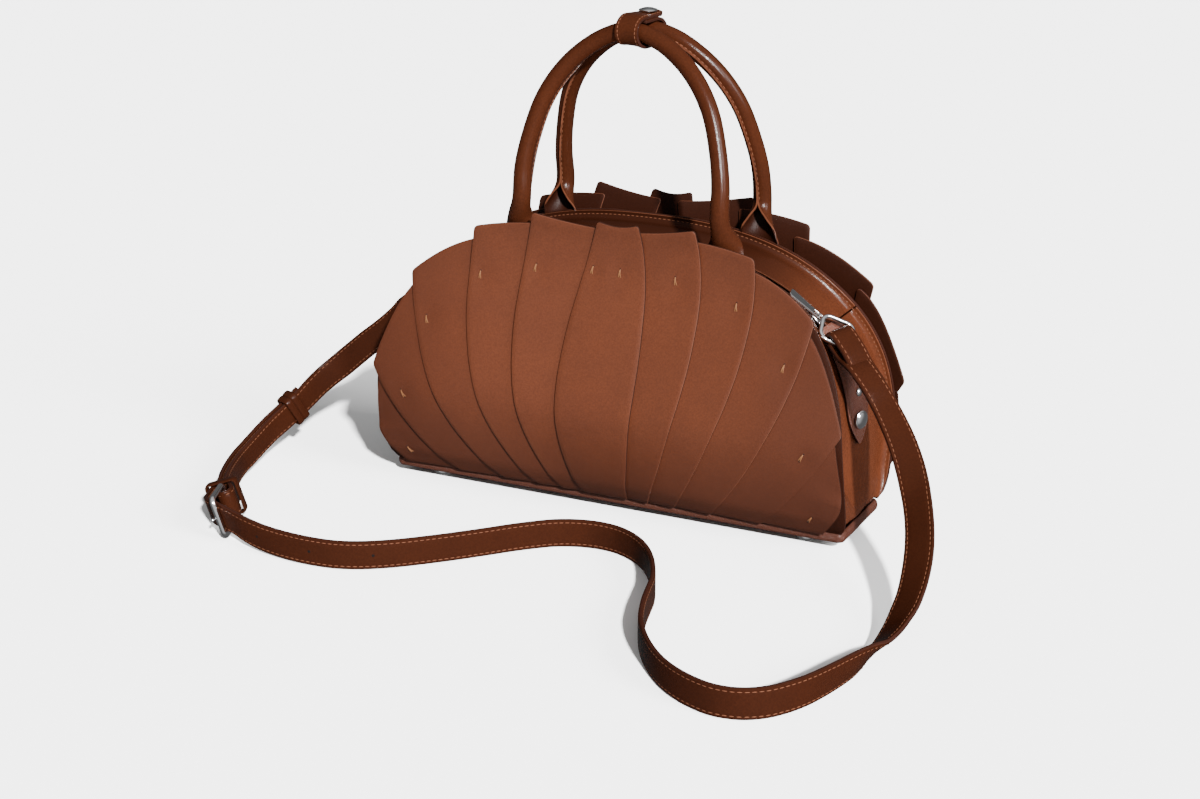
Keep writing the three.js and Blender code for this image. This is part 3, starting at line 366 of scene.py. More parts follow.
# Front and back panels: half-moon sheets of smooth leather that swell to a belly and lean in to
# the top. Their edges are turned out against the gusset and painted.
def smooth_table(rows, at):
    """Value at a key on a smooth curve through rows of key and value."""
    last = len(rows) - 1
    here = min(max(at, rows[0][0]), rows[last][0])
    row = min(max(bisect([key for key, _ in rows], here) - 1, 0), last - 1)

    def slope(i):
        low = rows[max(i - 1, 0)]
        high = rows[min(i + 1, last)]
        return (high[1] - low[1]) / (high[0] - low[0])

    span = rows[row + 1][0] - rows[row][0]
    t = (here - rows[row][0]) / span
    return (
        rows[row][1] * (1 + 2 * t) * (1 - t) ** 2 + slope(row) * span * t * (1 - t) ** 2
        + rows[row + 1][1] * t * t * (3 - 2 * t) + slope(row + 1) * span * t * t * (t - 1)
    )


def smoothstep(value, low, high):
    t = min(max((value - low) / (high - low), 0), 1)
    return t * t * (3 - 2 * t)


DOME = {"half_width": 173, "shoulder": 35, "rise": 161, "width_power": 2.4, "rise_power": 3.1}
LOW_CORNER = {"x": 168, "reach": 5, "drop": 22}
HALF_DEPTH = [(13, 36), (28, 47), (70, 59), (100, 55), (130, 45), (160, 34.5), (210, 27)]
SIDE_DRAW = 6
PANEL = {"thick": 2, "low": 13, "high": 195.4}


def half_width_at(z):
    if z < DOME["shoulder"]:
        down = (DOME["shoulder"] - z) / LOW_CORNER["drop"]
        return LOW_CORNER["x"] + LOW_CORNER["reach"] * math.sqrt(max(0, 1 - down * down))
    up = (z - DOME["shoulder"]) / DOME["rise"]
    return DOME["half_width"] * max(0, 1 - up ** DOME["rise_power"]) ** (1 / DOME["width_power"])


def depth_at(x, z):
    depth = smooth_table(HALF_DEPTH, z)
    swell = min(max((depth - HALF_DEPTH[0][1]) / (HALF_DEPTH[2][1] - HALF_DEPTH[0][1]), 0), 1)
    return depth - SIDE_DRAW * swell * (x / DOME["half_width"]) ** 4


def shaped_sheet(columns, rows, place, outward):
    """A grid laid out by a function of its two shares, with its faces turned to one side."""
    bm = bmesh.new()
    bm.loops.layers.uv.new("UVMap")
    bmesh.ops.create_grid(bm, x_segments=columns, y_segments=rows, size=0.5, calc_uvs=True)
    for vert in bm.verts:
        vert.co = place(vert.co.x + 0.5, vert.co.y + 0.5)
    bm.normal_update()
    if sum(face.normal.dot(outward(face.calc_center_median())) for face in bm.faces) < 0:
        bmesh.ops.reverse_faces(bm, faces=bm.faces)
    return bm


def thicken(piece, thick, round_edge):
    """Gives a sheet its wall, inwards from its outer face, and softens its cut edges."""
    wall = piece.modifiers.new("wall", "SOLIDIFY")
    wall.thickness = thick * MM
    wall.offset = -1
    wall.use_even_offset = True
    wall.material_offset_rim = 1
    if round_edge:
        soften = piece.modifiers.new("cut_edges", "BEVEL")
        soften.width = round_edge * MM
        soften.segments = 2
        soften.limit_method = "ANGLE"
        soften.angle_limit = math.radians(50)
    return piece


# The panel leather is painted very dark: it shows only in the gaps behind the petals, and the dark colour
# stands for the shade there.
shaded_leather = leather(
    "shaded_leather", (0.0085, 0.0022, 0.001), (0.0045, 0.0012, 0.0006),
    roughness=0.35, grain_mm=0.9, grain_depth=0.15, gloss=0.05,
)
dark_edge = painted_edge("dark_edge_paint", (0.011, 0.0033, 0.002), 0.45)

for panel_name, panel_side in (("front", -1), ("back", 1)):
    def on_panel(u, v, side=panel_side):
        z = PANEL["low"] + (PANEL["high"] - PANEL["low"]) * (1 - (1 - v) ** 1.6)
        x = half_width_at(z) * (2 * u - 1)
        return Vector((x, side * depth_at(x, z), z))

    panel_bm = shaped_sheet(48, 56, on_panel, lambda at, side=panel_side: Vector((0, side, 0)))
    panel_piece = add_piece(
        f"{panel_name}_shell", panel_bm, [shaded_leather, dark_edge], [f"{panel_name}_panel"],
    )
    thicken(panel_piece, PANEL["thick"], 0.5)


# Petals: a fan of satin leather leaves on each panel, sewn into the base seam and held near the
# top by one hand stitch of waxed thread. Each is tucked under the next one towards the middle.
PETAL = {"thick": 1.5, "clear": 1.5, "step": 2.3, "foot_overlap": 5, "tip_overlap": 10, "foot": 13}
BACK_PETALS = {"raise": 3.5, "flare": 8}
PETAL_LIFT = [(110, 0), (150, 2.7), (175, 3.4), (190, 5.2), (198, 7.6), (207, 10.8)]
PETAL_EDGES = [
    # foot x, bow x, bow z, corner x, corner z, lean, more lean on the back, pull of the bow, tuck,
    # tip rise, tip scoop
    (16.5, 41, 102, 14.5, 204, 9.5, -3, 1, 1, 1, 2.6),
    (32, 81, 106, 58.5, 205, 5.5, 2.5, 1, 0.97, 1, 1.2),
    (51.5, 113.5, 101, 101.5, 190.5, 2.5, 4.5, 1, 0.96, 1, -1.5),
    (78, 135.5, 76.5, 147, 155, 0, 8, 1, 0.96, 1, -5),
    (114, 146.5, 43, 173, 88, 0, 4, 1, 0.985, 1, -12),
    (157, 174.5, 35, 168.5, 81, 0, 4, 4, 0.93, 0, 0),
]
PETAL_STITCHES = [(10.4, 172), (51, 168), (93, 158), (131, 125), (148, 70), (150.5, 25)]
STITCH_DENT = {"deep": 0.7, "wide": 9}
HAND_STITCH = {"half": 2.6, "thread": 0.4, "flat": 0.34, "sink": 0.1, "hole": 2.9}
TIP_ROUND = {"above": 60, "radius": 2.5}
PETALS_PER_SIDE = len(PETAL_EDGES) - 1


def petal_edge(row, side, face, t):
    foot_x, bow_x, bow_z, corner_x, corner_z, lean, back_lean, pull = row[:8]
    if face > 0:
        lean += back_lean
        corner_z += BACK_PETALS["raise"]
    low = (1 - t) ** 2
    middle = 2 * pull * t * (1 - t)
    total = low + middle + t * t
    x = side * (foot_x * low + bow_x * middle + corner_x * t * t) / total + lean * t * t
    z = (PETAL["foot"] * low + bow_z * middle + corner_z * t * t) / total
    return Vector((x, 0, z))


def petal_place(index, face, u, v):
    """A place on the outer face of a petal, from its tucked to its free edge and foot to tip."""
    side = -1 if index < 0 else 1
    own = PETAL_EDGES[abs(index)]
    tuck, tip_rise, scoop = own[8:]
    free = petal_edge(own, side, face, v)
    if index == 0:
        tucked = petal_edge(own, -side, face, v)
    else:
        tucked = petal_edge(PETAL_EDGES[abs(index) - 1], side, face, v * tuck)
        tucked.x -= side * (PETAL["foot_overlap"] + (PETAL["tip_overlap"] - PETAL["foot_overlap"]) * v)
    at = tucked.lerp(free, u)
    at.z -= scoop * 4 * u * (1 - u) * smoothstep(v, 0.8, 1)
    slip = (1 - tip_rise) * smoothstep(v, 0.5, 0.8)
    rise = PETAL["step"] * (1 - slip) * (1 if index == 0 else u)
    sway = 0.25 * math.sin(5 * v + 1.7 * index) * u * smoothstep(v, 0.1, 0.4)
    stitch_x, stitch_z = PETAL_STITCHES[abs(index)]
    from_stitch = math.hypot(abs(at.x) - stitch_x, at.z - stitch_z)
    sway -= STITCH_DENT["deep"] * math.exp(-(from_stitch / STITCH_DENT["wide"]) ** 2)
    skin = depth_at(at.x, at.z) + PETAL["clear"] + PETAL["thick"]
    out = skin + smooth_table(PETAL_LIFT, at.z) + rise + sway
    if face > 0:
        out += BACK_PETALS["flare"] * smoothstep(at.z, 90, 200)
    return Vector((at.x, face * out, at.z))


def thread(name, colour):
    """Waxed thread, twisted from fine strands."""
    material, tree, shader, place = new_finish(name, 0.08)
    shader.inputs["Roughness"].default_value = 0.6
    twist = noise(tree, place, 1800, 3)
    dye(tree, shader, twist, [0.55 * channel for channel in colour], [1.3 * channel for channel in colour])
    emboss(tree, shader, twist, 0.5, 0.0002)
    return material


def repeat(name, single, places):
    """Copies of a small mesh, each moved to a place with its heading and its outward direction."""
    unit = bpy.data.meshes.new(f"{name}_single")
    single.to_mesh(unit)
    single.free()
    bm = bmesh.new()
    for at, heading, out in places:
        ahead = heading.normalized()
        up = (out - ahead * out.dot(ahead)).normalized()
        copy = unit.copy()
        copy.transform(placed(at, ahead, up.cross(ahead), up))
        bm.from_mesh(copy)
        bpy.data.meshes.remove(copy)
    bpy.data.meshes.remove(unit)
    return bm


# The petals' tint carries painted shade: it darkens below about 80 mm and towards the outer petals beyond 70
# mm from the middle.
petal_leather = leather(
    "petal_leather", (0.034, 0.0096, 0.0042), (0.0165, 0.0045, 0.0021),
    roughness=0.45, grain_mm=0.7, grain_depth=0.2, gloss=0.07, painted_shade_heights=(-10, 80),
)
# Very dark leather for the inner faces of the petals; inside the rolled handles it is painted shade.
petal_inside = leather(
    "petal_inside", (0.0085, 0.0022, 0.001), (0.005, 0.0013, 0.0006),
    roughness=0.4, grain_mm=0.7, grain_depth=0.2, gloss=0.06,
)
# Dark edge paint on the petals' cut walls, kept dark enough to also be painted shade in the gaps where
# petals overlap; the stitch dimples take it too.
petal_edge_paint_and_shade = painted_edge("petal_edge_paint_and_gap_shade", (0.009, 0.0027, 0.0016), 0.6)
# Lighter edge for the petals' rounded cut edges: partly rubbed wear, partly a painted highlight where the
# edges catch the light.
petal_edge_wear_and_highlight = painted_edge("petal_rubbed_edge_and_highlight", (0.035, 0.0104, 0.0046), 0.6)
tan_thread = thread("tan_thread", (0.062, 0.025, 0.0095))


def hand_stitch():
    """Two strands of thread between two small dimples in the leather, lying along X."""
    bm = bmesh.new()
    for aside, slant in ((-0.3, 9), (0.4, -7)):
        ring = bmesh.ops.create_circle(bm, segments=6, radius=HAND_STITCH["thread"])["verts"]
        bmesh.ops.translate(bm, vec=(-HAND_STITCH["half"], 0, 0), verts=ring)
        before = set(bm.verts) - set(ring)
        bmesh.ops.spin(
            bm, geom=ring + edges_round(ring), cent=(0, 0, 0), axis=(0, 1, 0), angle=math.pi, steps=8,
        )
        strand = [vert for vert in bm.verts if vert not in before]
        turn = Matrix.Rotation(math.radians(slant), 4, "Z")
        flatten = Matrix.Diagonal((1, 1, HAND_STITCH["flat"], 1))
        lay = Matrix.Translation((0, aside, -HAND_STITCH["sink"])) @ turn @ flatten
        bmesh.ops.transform(bm, matrix=lay, verts=strand)
    bmesh.ops.holes_fill(bm, edges=bm.edges, sides=0)
    for end in (-HAND_STITCH["hole"], HAND_STITCH["hole"]):
        dimple = bmesh.ops.create_uvsphere(bm, u_segments=8, v_segments=6, radius=1)["verts"]
        press = Matrix.Translation((end, 0, -0.05)) @ Matrix.Diagonal((0.95, 0.8, 0.16, 1))
        bmesh.ops.transform(bm, matrix=press, verts=dimple)
        # The dimples take the dark edge colour as painted shade in the stitch holes.
        for dimple_shade_face in {face for vert in dimple for face in vert.link_faces}:
            dimple_shade_face.material_index = 1
    bmesh.ops.recalc_face_normals(bm, faces=bm.faces)
    return bm


for face_name, face_side in (("front", -1), ("back", 1)):
    stitch_places = []
    for petal_index in range(-PETALS_PER_SIDE, PETALS_PER_SIDE + 1):
        petal_bm = shaped_sheet(
            14, 44,
            lambda u, v, index=petal_index, side=face_side: petal_place(index, side, u, v),
            lambda at, side=face_side: Vector((0, side, 0)),
        )
        corners = [vert for vert in petal_bm.verts if len(vert.link_faces) == 1]
        bmesh.ops.bevel(
            petal_bm, geom=[vert for vert in corners if vert.co.z > TIP_ROUND["above"]],
            offset=TIP_ROUND["radius"], segments=4, profile=0.5, affect="VERTICES", material=-1,
        )
        petal_number = petal_index + PETALS_PER_SIDE + 1
        petal_piece = add_piece(
            f"{face_name}_leaf_{petal_number}", petal_bm,
            [petal_leather, petal_edge_paint_and_shade, petal_edge_wear_and_highlight, petal_inside],
            [f"{face_name}_petal_{petal_number}"],
        )
        thicken(petal_piece, PETAL["thick"], 0.3)
        # The inner faces take the very dark leather, and the rounded cut edges the lighter edge colour,
        # partly a painted highlight.
        petal_piece.modifiers["wall"].material_offset = 3
        petal_piece.modifiers["cut_edges"].material = 2

        stitch_x, stitch_z = PETAL_STITCHES[abs(petal_index)]
        wanted = [-stitch_x, stitch_x] if petal_index == 0 else [math.copysign(stitch_x, petal_index)]
        for x in wanted:
            shares = [(i / 24, j / 48) for i in range(25) for j in range(49)]
            u, v = min(shares, key=lambda s: (
                (petal_place(petal_index, face_side, *s).x - x) ** 2
                + (petal_place(petal_index, face_side, *s).z - stitch_z) ** 2
            ))
            at = petal_place(petal_index, face_side, u, v)
            heading = petal_place(petal_index, face_side, u, min(v + 0.02, 1)) - at
            stitch_places.append((at, heading, Vector((0, face_side, 0))))

    add_piece(
        f"{face_name}_hand_stitches", repeat("hand_stitch", hand_stitch(), stitch_places),
        [tan_thread, petal_edge_paint_and_shade],
    )


# Gussets: the band of smooth glossy leather between the panels. The two side pieces fold inwards
# at a crease, the two top strips border the zip, and all have a seam flange along the panels.
GUSSET = {
    "thick": 1.5, "clear": 0.8, "flange_top": 0.8, "flange_low": 5, "front_sharp": 1.6,
    "shoulder_in": 8, "shoulder_sink": 6.5, "low_sink": 3.1, "low_between": (13, 38),
}
CREASE_SINK = [(13, 1.2), (30, 9), (60, 23), (110, 24), (140, 16), (155, 14), (196, 16)]
CREASE_Y = [(13, -6), (30, -14), (60, -18), (110, -16), (140, -8), (155, 0), (196, 0)]
CREASE_SHARP = [(13, 1.5), (30, 2), (60, 3), (110, 4), (140, 2.5), (155, 1.3), (196, 1.3)]
ZIP = {"half_opening": 4.5, "seam_x": 148, "tape_half": 9, "tape_thick": 0.8}


def curve_point(points, t):
    """A place on the centripetal curve through points, with t counted evenly from point to point."""
    last = len(points) - 1
    row = min(int(t * last), last - 1)
    w = t * last - row
    p1 = points[row]
    p2 = points[row + 1]
    p0 = points[row - 1] if row > 0 else p1 * 2 - p2
    p3 = points[row + 2] if row + 2 <= last else p2 * 2 - p1
    d0 = math.sqrt((p1 - p0).length) or 1
    d1 = math.sqrt((p2 - p1).length) or 1
    d2 = math.sqrt((p3 - p2).length) or 1
    leave = ((p1 - p0) / d0 - (p2 - p0) / (d0 + d1) + (p2 - p1) / d1) * d1
    arrive = ((p2 - p1) / d1 - (p3 - p1) / (d1 + d2) + (p3 - p2) / d2) * d1
    return (
        p1 + leave * w + (p1 * -3 + p2 * 3 - leave * 2 - arrive) * w ** 2
        + (p1 * 2 - p2 * 2 + leave + arrive) * w ** 3
    )


def even_line(points, steps):
    """Places along the curve through points, with even steps and their lengths from the start."""
    fine = [curve_point(points, i / (8 * steps)) for i in range(8 * steps + 1)]
    lengths = [0.0]
    for before, after in zip(fine, fine[1:]):
        lengths.append(lengths[-1] + (after - before).length)
    return fine, lengths


def at_length(line, lengths, length):
    row = min(max(bisect(lengths, length) - 1, 0), len(lengths) - 2)
    span = lengths[row + 1] - lengths[row]
    return line[row].lerp(line[row + 1], (length - lengths[row]) / span)


low_arc = [math.radians(15 * i - 90) for i in range(6)]
high_arc = [math.radians(3 * i) for i in range(31)]
rim_right = [
    Vector((
        LOW_CORNER["x"] + LOW_CORNER["reach"] * math.cos(angle),
        0,
        DOME["shoulder"] + LOW_CORNER["drop"] * math.sin(angle),
    ))
    for angle in low_arc
] + [
    Vector((
        DOME["half_width"] * max(math.cos(angle), 0) ** (2 / DOME["width_power"]),
        0,
        DOME["shoulder"] + DOME["rise"] * math.sin(angle) ** (2 / DOME["rise_power"]),
    ))
    for angle in high_arc
]
rim_left = [Vector((-at.x, 0, at.z)) for at in reversed(rim_right[:-1])]
rim_line, rim_lengths = even_line(rim_right + rim_left, 300)


def rim_frame(share):
    """Place on the rim from its right to its left end, outward direction and inner half depth."""
    length = share * rim_lengths[-1]
    at = at_length(rim_line, rim_lengths, length)
    ahead = at_length(rim_line, rim_lengths, min(length + 0.5, rim_lengths[-1]))
    behind = at_length(rim_line, rim_lengths, max(length - 0.5, 0))
    heading = (ahead - behind).normalized()
    half = depth_at(at.x, at.z) - PANEL["thick"] - GUSSET["clear"]
    return at, Vector((heading.z, 0, -heading.x)), half


def rim_share(test):
    """First share of the rim at which a test of its place holds."""
    return next(i / 1000 for i in range(1001) if test(rim_frame(i / 1000)[0]))


def shoulder_sink(at):
    deeper = GUSSET["shoulder_sink"] - GUSSET["low_sink"]
    return GUSSET["low_sink"] + deeper * smoothstep(at.z, *GUSSET["low_between"])


def gusset_sink(at, half, y):
    crease = smooth_table(CREASE_Y, at.z)
    sink = smooth_table(CREASE_SINK, at.z)
    shoulder = half - GUSSET["shoulder_in"]
    if y < crease:
        share = (y + shoulder) / (crease + shoulder)
        sharp = GUSSET["front_sharp"]
    else:
        share = (shoulder - y) / (shoulder - crease)
        sharp = smooth_table(CREASE_SHARP, at.z)
    share = min(max(share, 0), 1)
    return shoulder_sink(at) + (sink - shoulder_sink(at)) * share ** sharp


def on_gusset(share, y, raised):
    """A place raised off the outer face of the gusset."""
    at, normal, half = rim_frame(share)
    return Vector((at.x, y, at.z)) - normal * (gusset_sink(at, half, y) - raised)


def gusset_section(share, kind):
    """Places across the gusset at one share of the rim: a flange, the band and a flange."""
    at, normal, half = rim_frame(share)
    wall = half - GUSSET["thick"] / 2
    shoulder = half - GUSSET["shoulder_in"]
    crease = smooth_table(CREASE_Y, at.z)
    if kind == "side":
        band = [-shoulder + i * (crease + shoulder) / 5 for i in range(5)]
        band += [crease + (shoulder - crease) * (i / 8) ** 1.4 for i in range(9)]
    elif kind == "front":
        band = [-shoulder + i * (shoulder - ZIP["half_opening"]) / 5 for i in range(6)]
    else:
        band = [ZIP["half_opening"] + i * (shoulder - ZIP["half_opening"]) / 5 for i in range(6)]
    section = [(y, gusset_sink(at, half, y)) for y in band]
    tall = GUSSET["flange_low"] + shoulder_sink(at) - GUSSET["shoulder_sink"]
    flange = [(wall, GUSSET["flange_top"]), (wall, max(0.6 * tall, 1.2)), (wall - 2, tall + 0.7)]
    if kind in ("side", "front"):
        section = [(-y, sink) for y, sink in flange] + section
    if kind in ("side", "back"):
        section += reversed(flange)
    return [Vector((at.x, y, at.z)) - normal * sink for y, sink in section]


def gusset_sheet(start, end, rows, columns, kind):
    sections = {}

    def place(u, v):
        share = start + (end - start) * v
        key = round(v * rows)
        if key not in sections:
            sections[key] = gusset_section(share, kind)
        return curve_point(sections[key], u)

    middle = Vector((0, 0, 60))
    return shaped_sheet(columns, rows, place, lambda at: Vector((at.x, 0, at.z)) - middle)


seam_share = rim_share(lambda at: at.z > DOME["shoulder"] and at.x <= ZIP["seam_x"])
RIM_END = 0.004
SEAM_GAP = 0.001
fold_end = seam_share - SEAM_GAP
strip_start = seam_share + SEAM_GAP
GUSSETS = [
    # name, start and end share, rows, columns, kind, node
    ("side_fold_right", RIM_END, fold_end, 60, 56, "side", "gusset_right"),
    ("side_fold_left", 1 - fold_end, 1 - RIM_END, 60, 56, "side", "gusset_left"),
    ("top_strip_front", strip_start, 1 - strip_start, 110, 26, "front", "zip_strip_front"),
    ("top_strip_back", strip_start, 1 - strip_start, 110, 26, "back", "zip_strip_back"),
]
# The gusset's tint carries painted shade: it darkens towards the middle of the bag, so the top strips along
# the zip take the dark colour and the side folds keep nearly the full one.
gusset_leather = leather(
    "gusset_leather", (0.033, 0.009, 0.0037), (0.0075, 0.002, 0.0009),
    roughness=0.24, grain_mm=0.9, grain_depth=0.12, gloss=0.065, painted_shade_heights=(-60, -20), aside=(0, 1),
)
rubbed_edge = painted_edge("rubbed_edge", (0.036, 0.0112, 0.0052), 0.45)
for gusset_name, start, end, rows, columns, kind, node in GUSSETS:
    gusset_bm = gusset_sheet(start, end, rows, columns, kind)
    gusset_piece = add_piece(gusset_name, gusset_bm, [gusset_leather, rubbed_edge], [node])
    thicken(gusset_piece, GUSSET["thick"], 0.35)


def machine_stitch(length, radius):
    """One short stitch of machine thread, lying along X."""
    bm = bmesh.new()
    bmesh.ops.create_uvsphere(bm, u_segments=6, v_segments=5, radius=1)
    bmesh.ops.rotate(bm, cent=(0, 0, 0), matrix=Matrix.Rotation(math.radians(90), 3, "Y"), verts=bm.verts)
    bmesh.ops.scale(bm, vec=(length / 2, radius, radius * 0.8), verts=bm.verts)
    return bm


seam_thread = thread("seam_thread", (0.05, 0.018, 0.0085))
FLANGE_STITCH = {"sink": 3.2, "pitch": 3.4, "length": 2.3, "radius": 0.3}
flange_places = []
flange_count = int(rim_lengths[-1] / FLANGE_STITCH["pitch"])
for i in range(4, flange_count - 3):
    share = i / flange_count
    at, normal, half = rim_frame(share)
    ahead = rim_frame(share + 0.002)[0] - at
    skin = half - GUSSET["thick"] / 2 - 0.05
    for side in (-1, 1):
        spot = Vector((at.x, side * skin, at.z)) - normal * FLANGE_STITCH["sink"]
        flange_places.append((spot, ahead, Vector((0, -side, 0))))
flange_stitch = machine_stitch(FLANGE_STITCH["length"], FLANGE_STITCH["radius"])
add_piece(
    "seam_flange_stitches", repeat("flange_stitch", flange_stitch, flange_places),
    [seam_thread],
)


# Zip: two rows of nickel teeth clamped to a dark woven tape that lies under the top strips, closed
# by a slider near the right end.
TEETH = {"pitch": 2.9, "long": 3.2, "wide": 1.25, "tall": 1.9, "aside": 0.9, "edge": 0.3, "clear": 0.1}
ZIP_END_GAP = 0.012
zip_start = seam_share + ZIP_END_GAP
zip_end = 1 - zip_start
TAPE_GAP = 0.4
TAPE_DROP = -(TAPE_GAP + GUSSET["thick"])

tape_cloth = painted_edge("zip_tape", (0.014, 0.005, 0.003), 0.8)


def on_tape(u, v):
    share = zip_start + (zip_end - zip_start) * v
    at = on_gusset(share, 0, TAPE_DROP)
    return Vector((at.x, ZIP["tape_half"] * (2 * u - 1), at.z))


tape_piece = add_piece(
    "zip_tape", shaped_sheet(8, 110, on_tape, lambda at: Vector((at.x, 0, at.z - 60))),
    [tape_cloth, tape_cloth], ["zip_chain"],
)
thicken(tape_piece, ZIP["tape_thick"], 0)

tooth = bmesh.new()
bmesh.ops.create_cube(tooth, size=1)
bmesh.ops.scale(tooth, vec=(TEETH["wide"], TEETH["long"], TEETH["tall"]), verts=tooth.verts)
round_over(tooth, tooth.edges[:], TEETH["edge"], 1)
tooth_places = []
zip_length = (zip_end - zip_start) * rim_lengths[-1]
tooth_count = int(2 * zip_length / TEETH["pitch"])
for i in range(tooth_count):
    share = zip_start + (zip_end - zip_start) * (i + 0.5) / tooth_count
    at = on_gusset(share, 0, TAPE_DROP + TEETH["tall"] / 2 + TEETH["clear"])
    ahead = on_gusset(share + 0.002, 0, TAPE_DROP) - on_gusset(share, 0, TAPE_DROP)
    out = rim_frame(share)[1]
    aside = TEETH["aside"] if i % 2 else -TEETH["aside"]
    tooth_places.append((at + Vector((0, aside, 0)), ahead, out))
add_piece("zip_teeth", repeat("tooth", tooth, tooth_places), [nickel], sharp_degrees=30)


# Slider and pull: a cast slider body with a staple on top, and a flat tapered pull hung in the
# staple by a square eye. The pull lies along the zip towards the middle of the bag.
SLIDER = {
    "rim_x": 142.4, "half_length": 4.8, "half_width": 3.4, "low": 0.7, "high": 2.7,
    "taper": 0.72, "edge": 0.65,
}
STAPLE = {"half": 3.0, "top": 6.1, "wire": 1.3, "root": 0.6}
PULL = {
    "bar_at": 1, "bar_up": 4.4, "thick": 1.2, "length": 25, "eye": 5.6, "half_eye": 2.3,
    "half_wide": 3.5, "half_tip": 4.6, "tip_corner": 1.4, "edge": 0.3,
}
PULL_DROP = math.radians(5)
PULL_TURN = math.radians(14)
slider_share = rim_share(lambda at: at.z > DOME["shoulder"] and at.x <= SLIDER["rim_x"])
slider_at = on_gusset(slider_share, 0, 0)
slider_up = rim_frame(slider_share)[1]
slider_across = Vector((0, 1, 0))
slider_ahead = slider_up.cross(slider_across)
slider_place = placed(slider_at, slider_across, slider_ahead, slider_up)

slider_bm = bmesh.new()
bmesh.ops.create_cube(slider_bm, size=1)
slider_size = (2 * SLIDER["half_width"], 2 * SLIDER["half_length"], SLIDER["high"] - SLIDER["low"])
bmesh.ops.scale(slider_bm, vec=slider_size, verts=slider_bm.verts)
for vert in slider_bm.verts:
    if vert.co.y < 0:
        vert.co.x *= SLIDER["taper"]
round_over(slider_bm, slider_bm.edges[:], SLIDER["edge"], 3)
bmesh.ops.translate(slider_bm, vec=(0, 0, (SLIDER["low"] + SLIDER["high"]) / 2), verts=slider_bm.verts)

staple_foot = SLIDER["high"] - STAPLE["root"]
staple_bend = STAPLE["top"] - STAPLE["half"]
staple_rise = Vector((0, 0, staple_bend - staple_foot))
staple_ring = bmesh.ops.create_circle(slider_bm, segments=12, radius=STAPLE["wire"] / 2)["verts"]
bmesh.ops.translate(slider_bm, vec=(0, -STAPLE["half"], staple_foot), verts=staple_ring)
staple_leg = bmesh.ops.extrude_edge_only(slider_bm, edges=edges_round(staple_ring))["geom"]
bmesh.ops.translate(slider_bm, vec=staple_rise, verts=verts_in(staple_leg))
staple_arch = bmesh.ops.spin(
    slider_bm, geom=edges_in(staple_leg), cent=(0, 0, staple_bend), axis=(-1, 0, 0), angle=math.pi, steps=14,
)["geom_last"]
staple_leg = bmesh.ops.extrude_edge_only(slider_bm, edges=edges_in(staple_arch))["geom"]
bmesh.ops.translate(slider_bm, vec=-staple_rise, verts=verts_in(staple_leg))
bmesh.ops.recalc_face_normals(slider_bm, faces=slider_bm.faces)
bmesh.ops.transform(slider_bm, matrix=slider_place, verts=slider_bm.verts)
add_piece("zip_slider_body", slider_bm, [nickel], ["zip_slider"])

PULL_COLUMNS = [-1, -PULL["half_eye"] / PULL["half_wide"], PULL["half_eye"] / PULL["half_wide"], 1]
PULL_ROWS = [-0.6, 0.6, PULL["eye"] - 0.8, PULL["eye"] + 1.5, PULL["length"] - 1.5, PULL["length"]]
pull_bm = bmesh.new()
bmesh.ops.create_grid(pull_bm, x_segments=len(PULL_COLUMNS) - 1, y_segments=len(PULL_ROWS) - 1, size=1)
for vert in pull_bm.verts:
    column = PULL_COLUMNS[round((vert.co.x + 1) / 2 * (len(PULL_COLUMNS) - 1))]
    along = PULL_ROWS[round((vert.co.y + 1) / 2 * (len(PULL_ROWS) - 1))]
    widen = smoothstep(along, PULL["eye"], PULL["length"])
    half = PULL["half_wide"] + (PULL["half_tip"] - PULL["half_wide"]) * widen
    if along > PULL["length"] - 0.5:
        half -= PULL["tip_corner"]
    vert.co = Vector((column * half, along, -PULL["thick"] / 2))
eye_middle = Vector((0, PULL["eye"] / 2, 0))
eye_face = min(pull_bm.faces, key=lambda face: (face.calc_center_median() - eye_middle).length)
bmesh.ops.delete(pull_bm, geom=[eye_face], context="FACES_ONLY")
bmesh.ops.solidify(pull_bm, geom=pull_bm.faces[:], thickness=-PULL["thick"])
bmesh.ops.recalc_face_normals(pull_bm, faces=pull_bm.faces)
pull_rims = [edge for edge in pull_bm.edges if edge.calc_face_angle(0) > 1]
round_over(pull_bm, pull_rims, PULL["edge"], 2)
pull_hinge = slider_at + slider_ahead * PULL["bar_at"] + slider_up * PULL["bar_up"]
pull_lie = Matrix.Rotation(PULL_TURN, 4, "Z") @ Matrix.Rotation(-PULL_DROP, 4, "X")
pull_place = placed(pull_hinge, slider_across, slider_ahead, slider_up) @ pull_lie
bmesh.ops.transform(pull_bm, matrix=pull_place, verts=pull_bm.verts)
add_piece("zip_pull_plate", pull_bm, [nickel], ["zip_pull"], body="zip_pull")


# Handles: sheets of glossy leather rolled into tubes and sewn shut along a ridge on the side that
# faces the other handle. At the feet each tube opens into a flat tab, sewn to the panel.
HANDLE = [
    # reach, z, y (0 lies on the panel), half thickness
    (74, 150, 0, 1.1),
    (74, 170, 0, 1.1),
    (74, 186, 0, 1.1),
    (74, 198, 33, 3.2),
    (73.5, 212, 34, 6),
    (73, 232, 30.5, 6),
    (69.5, 252, 25.5, 6),
    (62, 276, 19, 6),
    (51, 294, 14, 6),
    (37, 308, 10, 6),
    (20, 318.5, 7.4, 6),
    (0, 323, 6.7, 6),
]
HANDLES = [
    # name, side, shift at the feet and at the top, inward nudge of the left leg, turn of the seam
    ("front", -1, 6, 0, 3.8, 0.9),
    ("back", 1, 6, 6, 0, 0.15),
]
TUBE_ARC = [
    # z, half angle of the roll
    (150, 0.3), (183, 0.35), (188, 0.8), (195, 1.5), (201, 2.2),
    (208, 2.86), (216, 3.02), (250, 3.04), (330, 3),
]
